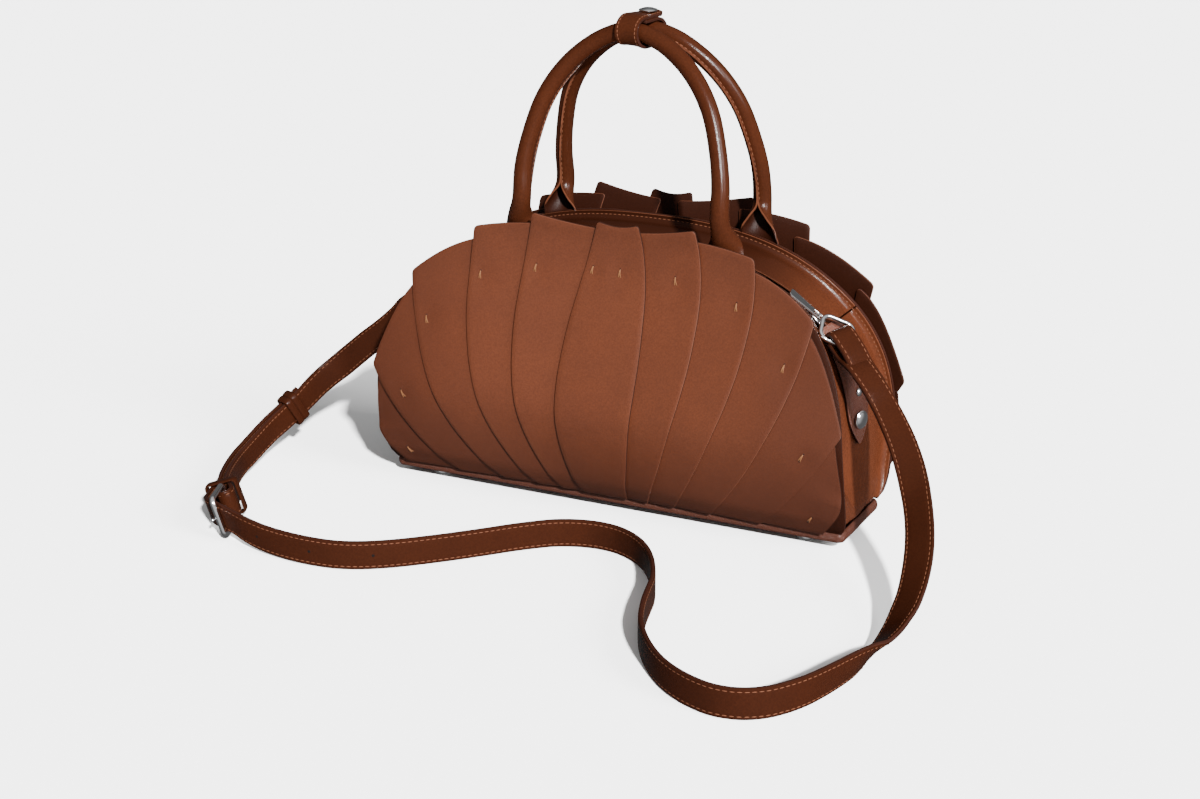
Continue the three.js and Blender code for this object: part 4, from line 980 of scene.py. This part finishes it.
TUBE_REACH = [
    # z, half width of the sheet that is rolled
    (150, 10.5), (170, 12.5), (183, 13.5), (195, 16.3),
    (208, 18.8), (225, 18.6), (250, 17.6), (330, 17.6),
]
NUDGE_ABOVE = 200
SEAM_TURNS = (200, 245)
RIDGE = {"low": 209, "height": 1.7, "share": 0.9, "thick": 1.15, "sinks": (296, 312)}
HANDLE_STITCH = {"pitch": 3.4, "length": 2.4, "radius": 0.3}
body_leather = leather(
    "body_leather", (0.0165, 0.0044, 0.0018), (0.0065, 0.0018, 0.0008),
    roughness=0.2, grain_mm=0.9, grain_depth=0.12, gloss=0.047,
)
handle_stitches = []

for handle_name, handle_side, foot_shift, top_shift, left_in, seam_turn in HANDLES:
    signed = [(-1, row) for row in HANDLE] + [(1, row) for row in reversed(HANDLE[:-1])]
    handle_points = []
    handle_backs = []
    for sign, (reach, z, y, thick) in signed:
        shift = foot_shift + (top_shift - foot_shift) * (z - HANDLE[0][1]) / (HANDLE[-1][1] - HANDLE[0][1])
        nudge = left_in if sign < 0 and z > NUDGE_ABOVE and reach else 0
        x = sign * reach + shift + nudge
        off = y if y else depth_at(x, z) + 0.4 + thick
        handle_points.append(Vector((x, handle_side * off, z)))
        handle_backs.append(Vector((thick, 0)))

    def handle_frame(share):
        """Place on the axis, heading, direction of the seam and across it, half thickness."""
        at = curve_point(handle_points, share)
        ahead = curve_point(handle_points, min(share + 0.004, 1))
        behind = curve_point(handle_points, max(share - 0.004, 0))
        heading = (ahead - behind).normalized()
        inside = Vector((0, -handle_side, 0))
        inside = (inside - heading * inside.dot(heading)).normalized()
        turn = seam_turn * smoothstep(at.z, *SEAM_TURNS)
        hollow = Vector((0, 1, 0)).cross(heading)
        seam = inside * math.cos(turn) + (hollow - heading * hollow.dot(heading)) * math.sin(turn)
        seam.normalize()
        return at, heading, seam, heading.cross(seam), curve_point(handle_backs, share).x

    def ridge_at(z):
        stands = smoothstep(z, RIDGE["low"] - 14, RIDGE["low"] + 4)
        return RIDGE["height"] * stands * (1 - 0.7 * smoothstep(z, *RIDGE["sinks"]))

    def on_handle(u, v):
        at, heading, seam, across, back = handle_frame(v)
        arc = smooth_table(TUBE_ARC, at.z)
        bend = smooth_table(TUBE_REACH, at.z) / arc
        share = (2 * u - 1) / RIDGE["share"]
        round_it = max(-1, min(1, share)) * arc
        lip = max(abs(share) - 1, 0) / (1 / RIDGE["share"] - 1)
        spot = at + seam * (bend - bend * math.cos(round_it) - back) + across * bend * math.sin(round_it)
        return spot + seam * lip * ridge_at(at.z)

    def from_left_foot(face):
        middle = face.calc_center_median()
        return middle.z + abs(middle.x - foot_shift + HANDLE[0][0])

    handle_bm = shaped_sheet(40, 200, on_handle, lambda at: Vector((0, 0, 0)))
    if min(handle_bm.faces, key=from_left_foot).normal.y * handle_side < 0:
        bmesh.ops.reverse_faces(handle_bm, faces=handle_bm.faces)
    handle_piece = add_piece(
        f"rolled_handle_{handle_name}", handle_bm, [body_leather, rubbed_edge, petal_inside],
        [f"handle_{handle_name}"], sharp_degrees=50,
    )
    thicken(handle_piece, RIDGE["thick"], 0.25)
    # The inside of the rolled tube takes the very dark leather as painted shade.
    handle_piece.modifiers["wall"].material_offset = 2

    handle_fine = [curve_point(handle_points, i / 900) for i in range(901)]
    since = 0.0
    for i in range(900):
        since += (handle_fine[i + 1] - handle_fine[i]).length
        at, heading, seam, across, back = handle_frame(i / 900)
        if since < HANDLE_STITCH["pitch"] or at.z < RIDGE["low"] + 2:
            continue
        since = 0.0
        for side in (-1, 1):
            edge = on_handle(0.5 + side * 0.5, i / 900)
            foot = on_handle(0.5 + side * 0.5 * RIDGE["share"], i / 900)
            handle_stitches.append((foot.lerp(edge, 0.45), heading, across * side))
handle_stitch = machine_stitch(HANDLE_STITCH["length"], HANDLE_STITCH["radius"])
add_piece(
    "handle_seam_stitches", repeat("handle_stitch", handle_stitch, handle_stitches),
    [seam_thread],
)


# Handle keeper: a leather strip wound round both handles at their top, with its rounded end lapped
# over and closed by a domed snap.
KEEPER = {"thick": 2, "half_width": 8, "skew": 0.2, "middle": 6, "tail": 9, "clear": 1, "lap": 2.4}
WRAP_STITCH = {"inset": 1.8, "length": 2.2, "radius": 0.28}
TUBE_RADIUS = 6
SNAP_STANDS = 0.4
apex_z, apex_y = HANDLE[-1][1:3]
near_reach, near_z, near_y = HANDLE[-2][:3]


def over_handles(x, y, up):
    """A place round the two handles, by its distance along and across them and above their axes."""
    share = min(max((y / apex_y + 1) / 2, 0), 1)
    middle = HANDLES[0][3] + (HANDLES[1][3] - HANDLES[0][3]) * share
    away = ((x - middle) / near_reach) ** 2
    splay = 1 + (near_y / apex_y - 1) * away
    return Vector((x, y * splay, apex_z + up - (apex_z - near_z) * away))


keeper_radius = TUBE_RADIUS + KEEPER["clear"] + KEEPER["thick"]
keeper_path = [Vector((-apex_y, keeper_radius)), Vector((0, keeper_radius))]
for side in (1, -1):
    for i in range(13):
        angle = side * math.pi / 2 - math.pi * i / 12
        radius = keeper_radius + (KEEPER["lap"] * i / 12 if side < 0 else 0)
        keeper_path.append(Vector((side * apex_y + radius * math.cos(angle), radius * math.sin(angle))))
keeper_top = keeper_radius + KEEPER["lap"]
keeper_path += [
    Vector((0, keeper_top)),
    Vector((apex_y, keeper_top)),
    Vector((apex_y + KEEPER["tail"] / 2, keeper_top + 0.1)),
    Vector((apex_y + KEEPER["tail"], keeper_top + 0.6)),
]
keeper_line, keeper_lengths = even_line(keeper_path, 60)


def on_keeper(u, v, inset=0.0):
    length = v * keeper_lengths[-1]
    y, up = at_length(keeper_line, keeper_lengths, length)
    left = max(keeper_lengths[-1] - length, 0)
    half = KEEPER["half_width"]
    if left < half:
        half *= math.sqrt(max(1 - (1 - left / half) ** 2, 0.02))
    return over_handles(KEEPER["middle"] + KEEPER["skew"] * y + (2 * u - 1) * (half - inset), y, up)


keeper_bm = shaped_sheet(10, 120, on_keeper, lambda at: at - Vector((KEEPER["middle"], 0, apex_z)))
keeper_piece = add_piece(
    "handle_wrap", keeper_bm, [body_leather, dark_edge], ["handle_keeper"],
)
thicken(keeper_piece, KEEPER["thick"], 0.5)

wrap_places = []
for i in range(30, 118, 3):
    side = on_keeper(0.9, i / 120, WRAP_STITCH["inset"]) - on_keeper(0.1, i / 120, WRAP_STITCH["inset"])
    for u in (0.0, 1.0):
        at = on_keeper(u, i / 120, WRAP_STITCH["inset"])
        ahead = on_keeper(u, (i + 1) / 120, WRAP_STITCH["inset"]) - at
        out = ahead.cross(side)
        if out.dot(at - Vector((at.x, 0, apex_z))) < 0:
            out = -out
        wrap_places.append((at, ahead, out))
wrap_stitch = machine_stitch(WRAP_STITCH["length"], WRAP_STITCH["radius"])
add_piece(
    "handle_wrap_stitches", repeat("wrap_stitch", wrap_stitch, wrap_places), [seam_thread],
)

SNAP_PROFILE = [
    # radius, height
    (0, 2.4), (1.6, 2.35), (3.2, 2.1), (4.4, 1.65), (4.9, 1.35), (5.1, 1.4),
    (5.7, 1.3), (6.15, 0.9), (6.2, 0.4), (6, 0), (0, 0),
]
snap_seat = over_handles(KEEPER["middle"] + KEEPER["skew"] * apex_y, apex_y, keeper_top + SNAP_STANDS)
snap_bm = turned(SNAP_PROFILE, 40)
bmesh.ops.translate(snap_bm, vec=snap_seat, verts=snap_bm.verts)
add_piece("handle_wrap_snap", snap_bm, [nickel], ["handle_keeper_snap"])


# End tabs: pointed tabs of grained leather on the gussets, sewn round the edge, each with a snap
# and a small rivet, under the rings that carry the strap.
TAB = {"middle": 3, "skin": 3.3, "thick": 2.2}
TAB_WIDTHS = [
    # z, half width
    (63, 0.8), (70, 5), (80, 8.5), (95, 10), (115, 10.5), (136, 10), (147, 8),
]
TAB_LOW = TAB_WIDTHS[0][0]
TAB_HIGH = TAB_WIDTHS[-1][0]
TAB_STITCH = {"inset": 2, "length": 2.1, "radius": 0.28, "count": 28}
RIVET_PROFILE = [(0, 1.3), (0.9, 1.2), (1.8, 0.9), (2.4, 0.5), (2.6, 0.2), (2.55, 0), (0, 0)]
TAB_FASTENERS = [
    # name, profile, z
    ("snap", SNAP_PROFILE, 80),
    ("rivet", RIVET_PROFILE, 99),
]
# The tab leather is a lighter pinkish brown of its own, raised further as painted light to make up for the
# strap's shadow that falls on the tabs.
tab_leather_painted_light = leather(
    "tab_leather_painted_light", (0.05, 0.0155, 0.0092), (0.029, 0.0088, 0.0054),
    roughness=0.38, grain_mm=1.0, grain_depth=0.75, gloss=0.15,
)
tab_shares = [(i / 4000, rim_frame(i / 4000)[0].z) for i in range(200, 1600)]


def tab_place(side, z, y):
    at = on_gusset(rim_share(lambda rim: rim.z >= z), y, TAB["skin"])
    return Vector((side * at.x, at.y, at.z))


for tab_name, tab_side in (("right", 1), ("left", -1)):
    def on_end_tab(u, v, inset=0.0, side=tab_side):
        z = TAB_LOW + (TAB_HIGH - TAB_LOW) * v + inset * (1 - 2 * v)
        half = max(smooth_table(TAB_WIDTHS, z) - inset, 0.1)
        share = next(share for share, level in tab_shares if level >= z)
        at = on_gusset(share, TAB["middle"] + (2 * u - 1) * half, TAB["skin"])
        return Vector((side * at.x, at.y, at.z))

    tab_bm = shaped_sheet(10, 48, on_end_tab, lambda at, side=tab_side: Vector((side, -0.3, 0)))
    tab_piece = add_piece(
        f"pointed_tab_{tab_name}", tab_bm, [tab_leather_painted_light, dark_edge], [f"end_tab_{tab_name}"],
    )
    thicken(tab_piece, TAB["thick"], 0.5)

    tab_stitches = []
    for i in range(TAB_STITCH["count"]):
        v = 0.04 + 0.92 * i / TAB_STITCH["count"]
        side_way = on_end_tab(0.9, v, TAB_STITCH["inset"]) - on_end_tab(0.1, v, TAB_STITCH["inset"])
        for u in (0.0, 1.0):
            at = on_end_tab(u, v, TAB_STITCH["inset"])
            ahead = on_end_tab(u, v + 0.02, TAB_STITCH["inset"]) - at
            out = ahead.cross(side_way)
            tab_stitches.append((at, ahead, out if out.x * tab_side > 0 else -out))
    tab_stitch = machine_stitch(TAB_STITCH["length"], TAB_STITCH["radius"])
    add_piece(
        f"pointed_tab_stitches_{tab_name}", repeat("tab_stitch", tab_stitch, tab_stitches),
        [seam_thread],
    )

    for fastener, profile, level in TAB_FASTENERS:
        seat = tab_place(tab_side, level, TAB["middle"])
        down = tab_place(tab_side, level - 4, TAB["middle"]) - seat
        back = tab_place(tab_side, level, TAB["middle"] + 4) - seat
        axis = (down.cross(back) * tab_side).normalized()
        stand = Vector((0, 0, 1)).rotation_difference(axis).to_matrix().to_4x4()
        fastener_bm = turned(profile, 36)
        fastener_place = Matrix.Translation(seat + axis * SNAP_STANDS) @ stand
        bmesh.ops.transform(fastener_bm, matrix=fastener_place, verts=fastener_bm.verts)
        add_piece(
            f"tab_{fastener}_{tab_name}", fastener_bm, [nickel], [f"end_{fastener}_{tab_name}"],
        )


# Rings: rectangular loops of nickel wire at the bag's ends. Each lies in the plane of the strap's
# end, which is folded round one corner of it.
RING = {"width": 25, "height": 22, "corner": 7, "wire": 3}
RINGS = [
    # name, centre, strap's heading, strap's width direction, side of the flap
    ("right", (148.4, -3.9, 139.2), (0.68, -0.25, -0.69), (0.35, 0.9, 0.22), 1),
    ("left", (-148.4, -3.9, 139.2), (-0.72, -0.02, -0.69), (-0.35, 0.9, 0.22), -1),
]
ring_ends = {}
for ring_name, ring_centre, ring_heading, ring_wide, flap_side in RINGS:
    centre = Vector(ring_centre)
    heading = Vector(ring_heading).normalized()
    wide = Vector(ring_wide)
    wide = (wide - heading * heading.dot(wide)).normalized()
    right = (wide + heading).normalized()
    down = (heading - wide).normalized()
    wire = RING["wire"]
    ring_bm = bent_loop(
        RING["width"] - wire, RING["height"] - wire, RING["corner"] - wire / 2, (wire, wire), corner_steps=9,
    )
    ring_place = placed(centre, right, down, right.cross(down))
    bmesh.ops.transform(ring_bm, matrix=ring_place, verts=ring_bm.verts)
    add_piece(f"strap_ring_{ring_name}", ring_bm, [nickel], [f"ring_{ring_name}"])
    ring_ends[ring_name] = (centre, heading, wide, flap_side)


# Shoulder strap: two lengths of flat folded leather, sewn along both edges, that stand on edge on
# the floor. Each is folded round its ring, and they meet at the buckle on the left.
STRAP = {"width": 19, "thick": 3.2, "flap": 31, "slack": 8.7}
LONG_ROUTE = [
    # x, y, z, turn towards the ring, lean at the buckle
    (171, -16, 119.5, 1, 0),
    (186, -20.5, 103, 0.9, 0),
    (208, -38, 79, 0.7, 0),
    (225, -62, 56, 0.55, 0),
    (237, -92, 38, 0.65, 0),
    (243, -125, 22, 0.68, 0),
    (243, -150, 13, 0.75, 0),
    (242, -176, 10.2, 0.85, 0),
    (236, -211, 10.2, 0.5, 0),
    (221, -255, 10.2, 0.15, 0),
    (205, -275, 10.2, 0, 0),
    (187, -281, 10.2, 0, 0),
    (168, -277, 10.2, 0, 0),
    (147, -265, 10.2, 0, 0),
    (128, -246, 10.2, 0, 0),
    (111, -220, 10.2, 0, 0),
    (100, -191, 10.2, 0, 0),
    (91, -160, 10.2, 0, 0),
    (77, -133, 10.2, 0, 0),
    (61, -114, 10.2, 0, 0),
    (41, -102, 10.2, 0, 0),
    (22, -100, 10.2, 0, 0),
    (0, -107, 10.2, 0, 0),
    (-21, -125, 10.2, 0, 0),
    (-39, -145, 10.2, 0, 0),
    (-62, -169, 10.2, 0, 0),
    (-86, -190, 10.2, 0, 0),
    (-109, -202, 10.2, 0, 0),
    (-137, -206, 10.8, 0, 0),
    (-166, -204, 12, 0, 0.1),
    (-188, -199.5, 14.5, 0, 0.2),
    (-201, -194.5, 15.8, 0, 0.3),
    (-213.5, -191, 16.2, 0, 0.3),
    (-223, -184, 14.6, 0, 0.3),
    (-229, -173.5, 13.4, 0, 0.3),
]
SHORT_ROUTE = [
    (-173, -8.4, 119, 0.6, 0),
    (-189, -8, 100.5, 0.15, 0),
    (-211, -8, 82.5, 0, 0),
    (-232, -10, 64.5, 0, 0),
    (-243.3, -19, 53.5, 0, 0),
    (-250.5, -30, 43, 0, 0),
    (-255.5, -43, 34, 0, 0),
    (-258.5, -57, 28, 0, 0),
    (-259, -72, 23, 0, 0),
    (-258.5, -86, 18.6, 0, 0),
    (-256.5, -102, 15.3, 0, 0),
    (-249, -121, 14.5, 0, 0.1),
    (-237, -143, 15.5, 0, 0.2),
    (-227.5, -158, 16.2, 0, 0.3),
]
BUCKLE = {"height": 31, "length": 28, "corner": 6, "wire": 4, "lean": 0.3}
buckle_bar = Vector((-217, -172, 16.2))
buckle_along = Vector((0.39, -0.92, 0)).normalized()
buckle_out = Vector((-0.92, -0.39, 0)).normalized()
buckle_up = (Vector((0, 0, 1)) + buckle_out * BUCKLE["lean"]).normalized()
buckle_across = buckle_along.cross(buckle_up)
GAP = 0.4


def at_buckle(ahead, out):
    return buckle_bar + buckle_along * ahead + buckle_across * out


def fold_round(bar, heading, wide, flap_side, slack, wire):
    """Places of a strap end folded round a bar: the flap, the bend and the start of the strap."""
    normal = heading.cross(wide) * flap_side
    opened = wire + GAP + STRAP["thick"] / 2
    shut = STRAP["thick"] / 2 + GAP / 2

    def place(ahead, out):
        return bar + heading * ahead + normal * out, wide

    flap = [place(STRAP["flap"], shut), place(STRAP["flap"] / 2, shut), place(4, opened)]
    angles = [math.pi * i / 8 for i in range(9)]
    bend = [place(-slack - opened * math.sin(angle), opened * math.cos(angle)) for angle in angles]
    return [*flap, *bend, place(4, -opened)]


def along_route(start, route, ring_wide, steps):
    """Places along a route with their width directions and headings, in even steps."""
    points = [start] + [Vector(row[:3]) for row in route]
    turns = [1] + [row[3] for row in route]
    leans = [0] + [row[4] for row in route]
    fine = 40 * len(points)
    shares = [i / fine for i in range(fine + 1)]
    line = [curve_point(points, share) for share in shares]
    lengths = [0.0]
    for before, after in zip(line, line[1:]):
        lengths.append(lengths[-1] + (after - before).length)
    places = []
    for i in range(steps + 1):
        length = lengths[-1] * i / steps
        row = min(max(bisect(lengths, length) - 1, 0), fine - 1)
        share = (row + (length - lengths[row]) / (lengths[row + 1] - lengths[row])) / fine
        spot = share * (len(points) - 1)
        low = min(int(spot), len(points) - 2)
        turn = turns[low] + (turns[low + 1] - turns[low]) * (spot - low)
        lean = leans[low] + (leans[low + 1] - leans[low]) * (spot - low)
        ahead = curve_point(points, min(share + 0.0005, 1))
        heading = (ahead - curve_point(points, max(share - 0.0005, 0))).normalized()
        wide = Vector((0, 0, 1)).lerp(ring_wide, turn) + buckle_out * lean
        wide = (wide - heading * wide.dot(heading)).normalized()
        places.append((curve_point(points, share), wide, heading))
    return places


def ring_fold(name):
    centre, heading, wide, flap_side = ring_ends[name]
    diagonal = (RING["width"] + RING["height"]) / (2 * math.sqrt(2))
    reach = diagonal - RING["corner"] * (math.sqrt(2) - 1) - RING["wire"] / 2
    bar = centre + heading * reach
    return bar, wide, fold_round(bar, heading, wide, flap_side, STRAP["slack"], RING["wire"] / 2)


def beside(places, out):
    """The same places moved sideways, in reverse."""
    return [(at + heading.cross(wide).normalized() * out, wide) for at, wide, heading in reversed(places)]


LONG_STEPS = 65
SHORT_STEPS = 26
RING_BEND = 7
BUCKLE_BEND = 5
TIP = {"from": 12, "to": 25, "aside": 4.4}
long_bar, long_wide, long_fold = ring_fold("right")
short_bar, short_wide, short_fold = ring_fold("left")
buckle_fold = fold_round(buckle_bar, -buckle_along, buckle_up, 1, 0, BUCKLE["wire"] / 2)[2:][::-1]
short_end = [(*buckle_fold[0][0], 0, BUCKLE["lean"])]
short_places = along_route(short_fold[-1][0], SHORT_ROUTE + short_end, short_wide, SHORT_STEPS)
short_flap = beside(short_places[SHORT_STEPS - 2:SHORT_STEPS], -STRAP["thick"] - 2 * GAP)
tip_places = beside(short_places[TIP["from"]:TIP["to"]], TIP["aside"])
long_places = along_route(long_fold[-1][0], LONG_ROUTE, long_wide, LONG_STEPS)
strap_runs = {
    "long": long_fold + [place[:2] for place in long_places[1:]] + tip_places,
    "short": short_fold + [place[:2] for place in short_places[1:]] + buckle_fold[1:] + short_flap,
}

STRAP_SECTION = [
    # share of the half width, share of the half thickness: flat face, stitched dip, rounded edge
    (0, 1.04), (0.5, 1.03), (0.7, 0.98), (0.775, 0.86), (0.85, 0.92), (0.93, 0.9), (0.985, 0.6), (1, 0.2),
]
half_section = STRAP_SECTION + [(wide, -thick) for wide, thick in reversed(STRAP_SECTION)]
strap_section = half_section + [(-wide, -thick) for wide, thick in half_section[1:-1]]
strap_leather = leather(
    "strap_leather", (0.0118, 0.0032, 0.0014), (0.0056, 0.0016, 0.0008),
    roughness=0.24, grain_mm=0.8, grain_depth=0.12, gloss=0.03,
)


def strap_frames(run):
    """Even places along a strap with width, face direction and heading, close enough to bend."""
    centres, lengths = even_line([at for at, _ in run], 260)
    wides, _ = even_line([wide for _, wide in run], 260)
    count = int(lengths[-1] / 2.6)
    frames = []
    for i in range(count + 1):
        length = lengths[-1] * i / count
        row = min(max(bisect(lengths, length) - 1, 0), len(lengths) - 2)
        share = (length - lengths[row]) / (lengths[row + 1] - lengths[row])
        at = centres[row].lerp(centres[row + 1], share)
        wide = wides[row].lerp(wides[row + 1], share)
        heading = (centres[min(row + 2, len(centres) - 1)] - centres[max(row - 1, 0)]).normalized()
        wide = (wide - heading * wide.dot(heading)).normalized()
        frames.append((at, wide, heading.cross(wide), heading))
    return frames, lengths[-1]


STRAP_EDGE_COLUMNS = (6, 7, 8, 21, 22, 23)
STRAP_STITCH = {"pitch": 3.9, "across": 0.775, "up": 0.9, "length": 2.9, "radius": 0.3}
STRAP_HOLES = [
    # x, y of the holes for the buckle's tongue
    (-171.6, -210),
    (-129.1, -211.1),
    (-89.1, -194.9),
]
hole_shade = painted_edge("hole_shade", (0.0008, 0.0005, 0.0004), 0.9)
strap_cords = {}
for strap_name, run in strap_runs.items():
    frames, run_length = strap_frames(run)
    last_frame = len(frames) - 1

    def on_strap(u, v):
        at, wide, face, heading = frames[round(v * last_frame)]
        w, t = strap_section[round(u * len(strap_section)) % len(strap_section)]
        return at + wide * w * STRAP["width"] / 2 + face * t * STRAP["thick"] / 2

    strap_bm = shaped_sheet(len(strap_section), last_frame, on_strap, lambda at: Vector((0, 0, 0)))
    bmesh.ops.remove_doubles(strap_bm, verts=strap_bm.verts, dist=0.001)
    bmesh.ops.holes_fill(strap_bm, edges=strap_bm.edges, sides=0)
    bmesh.ops.recalc_face_normals(strap_bm, faces=strap_bm.faces)
    uv_layer = strap_bm.loops.layers.uv.active
    for strap_face in strap_bm.faces:
        middle_u = sum(loop[uv_layer].uv.x for loop in strap_face.loops) / len(strap_face.loops)
        column = math.floor(middle_u * len(strap_section))
        strap_face.material_index = 1 if column in STRAP_EDGE_COLUMNS else 0
    strap_piece = add_piece(
        f"shoulder_strap_{strap_name}", strap_bm, [strap_leather, dark_edge],
        [f"strap_{strap_name}"],
    )

    stitch_count = int(run_length / STRAP_STITCH["pitch"])
    strap_stitches = []
    for i in range(1, stitch_count):
        spot = i / stitch_count * last_frame
        at, wide, face, heading = frames[round(spot)]
        middle = at + heading * (spot - round(spot)) * run_length / last_frame
        for edge in (-1, 1):
            row = middle + wide * edge * STRAP_STITCH["across"] * STRAP["width"] / 2
            for side in (-1, 1):
                up = face * side * STRAP_STITCH["up"] * STRAP["thick"] / 2
                strap_stitches.append((row + up, heading, face * side))
    strap_stitch = machine_stitch(STRAP_STITCH["length"], STRAP_STITCH["radius"])
    add_piece(
        f"shoulder_strap_stitches_{strap_name}", repeat("strap_stitch", strap_stitch, strap_stitches),
        [seam_thread],
    )
    if strap_name == "long":
        hole_places = []
        for hole_x, hole_y in STRAP_HOLES:
            at, wide, face, heading = min(
                frames, key=lambda place: math.hypot(place[0].x - hole_x, place[0].y - hole_y),
            )
            for side in (-1, 1):
                hole_places.append((at + face * side * STRAP["thick"] / 2, heading, face * side))
        hole_bm = bmesh.new()
        bmesh.ops.create_uvsphere(hole_bm, u_segments=12, v_segments=6, radius=1.1)
        bmesh.ops.scale(hole_bm, vec=(1, 1, 0.1), verts=hole_bm.verts)
        add_piece("strap_holes", repeat("strap_hole", hole_bm, hole_places), [hole_shade])
    main_from = RING_BEND
    main_to = len(run) if strap_name == "long" else len(short_fold) + SHORT_STEPS + BUCKLE_BEND
    main_line, main_lengths = even_line([at for at, _ in run[main_from:main_to]], 160)
    strap_cords[strap_name] = (strap_piece, main_lengths[-1] * MM, [at * MM for at in main_line[::8]])


# Buckle: a frame of bright nickel wire on the end of the short strap, with a tongue that passes
# through a hole in the long one.
TONGUE = {"radius": 1.2, "start": (6.4, 0.4), "end": (31, 3.8)}
frame_bm = bent_loop(
    BUCKLE["length"], BUCKLE["height"] - BUCKLE["wire"], BUCKLE["corner"] - BUCKLE["wire"] / 2,
    (BUCKLE["wire"], BUCKLE["wire"]), corner_steps=8,
)
frame_place = placed(at_buckle(BUCKLE["length"] / 2, 0), buckle_along, buckle_up, buckle_across)
bmesh.ops.transform(frame_bm, matrix=frame_place, verts=frame_bm.verts)
buckle_loop = add_piece("buckle_loop", frame_bm, [nickel], ["buckle_frame"])

tongue_start = at_buckle(*TONGUE["start"])
tongue_way = at_buckle(*TONGUE["end"]) - tongue_start
tongue_bm = turned([
    (0, 0), (TONGUE["radius"], 0.3), (TONGUE["radius"], tongue_way.length - 3),
    (TONGUE["radius"] * 0.8, tongue_way.length - 1), (0, tongue_way.length),
], 14)
tongue_turn = Vector((0, 0, 1)).rotation_difference(tongue_way).to_matrix().to_4x4()
bmesh.ops.transform(tongue_bm, matrix=Matrix.Translation(tongue_start) @ tongue_turn, verts=tongue_bm.verts)
buckle_pin = add_piece("buckle_pin", tongue_bm, [nickel], ["buckle_tongue"])


# Strap keepers: leather loops round both straps, a fixed one beside the buckle and a sliding one
# of two bands that holds the tip. They are stiff strips, bent round the straps.
LOOP = {"wall": 2, "corner": 2.5, "flat": 1.25}
FIXED_LOOP = {"ahead": -12, "out": 4.6, "wide": 22, "thick": 19, "band": 7}
SLIDING_LOOP = {"place": 13, "out": 2.2, "wide": 20.4, "thick": 9.6, "band": 5.5, "apart": 2.8}


def keeper_loop(centre, heading, wide, size):
    normal = heading.cross(wide).normalized()
    bm = bent_loop(
        size["wide"] + LOOP["wall"], size["thick"] + LOOP["wall"], LOOP["corner"],
        (LOOP["wall"], size["band"]), corner_steps=5, section_steps=16,
    )
    for vert in bm.verts:
        vert.co.z = math.copysign(min(abs(vert.co.z) * LOOP["flat"], size["band"] / 2), vert.co.z)
    loop_place = placed(centre, wide, normal, wide.cross(normal))
    bmesh.ops.transform(bm, matrix=loop_place, verts=bm.verts)
    return bm


slide_at, slide_wide, slide_heading = short_places[SLIDING_LOOP["place"]]
slide_centre = slide_at + slide_heading.cross(slide_wide).normalized() * SLIDING_LOOP["out"]
sliding_bm = bmesh.new()
for along in (-SLIDING_LOOP["apart"], SLIDING_LOOP["apart"]):
    band_bm = keeper_loop(slide_centre + slide_heading * along, slide_heading, slide_wide, SLIDING_LOOP)
    band_mesh = bpy.data.meshes.new("keeper_band")
    band_bm.to_mesh(band_mesh)
    band_bm.free()
    sliding_bm.from_mesh(band_mesh)
    bpy.data.meshes.remove(band_mesh)
sliding_loop = add_piece(
    "strap_loop_sliding", sliding_bm, [strap_leather], ["keeper_sliding"],
)
fixed_centre = at_buckle(FIXED_LOOP["ahead"], FIXED_LOOP["out"])
fixed_bm = keeper_loop(fixed_centre, buckle_along, buckle_up, FIXED_LOOP)
fixed_loop = add_piece("strap_loop_fixed", fixed_bm, [strap_leather], ["keeper_fixed"])


# Strap lay: both straps lie loose from their rings. The long one ends bare in the sliding keeper,
# and the short one carries the buckle and both keepers.
CORDS = [
    # strap, where it leaves its ring, far end, pieces on it
    ("long", long_bar, "bare", []),
    ("short", short_bar, "fitting", [buckle_loop, buckle_pin, sliding_loop, fixed_loop]),
]
for strap_name, leaves, far_end, on_strap_pieces in CORDS:
    strap_piece, strap_length, strap_path = strap_cords[strap_name]
    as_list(on_strap_pieces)
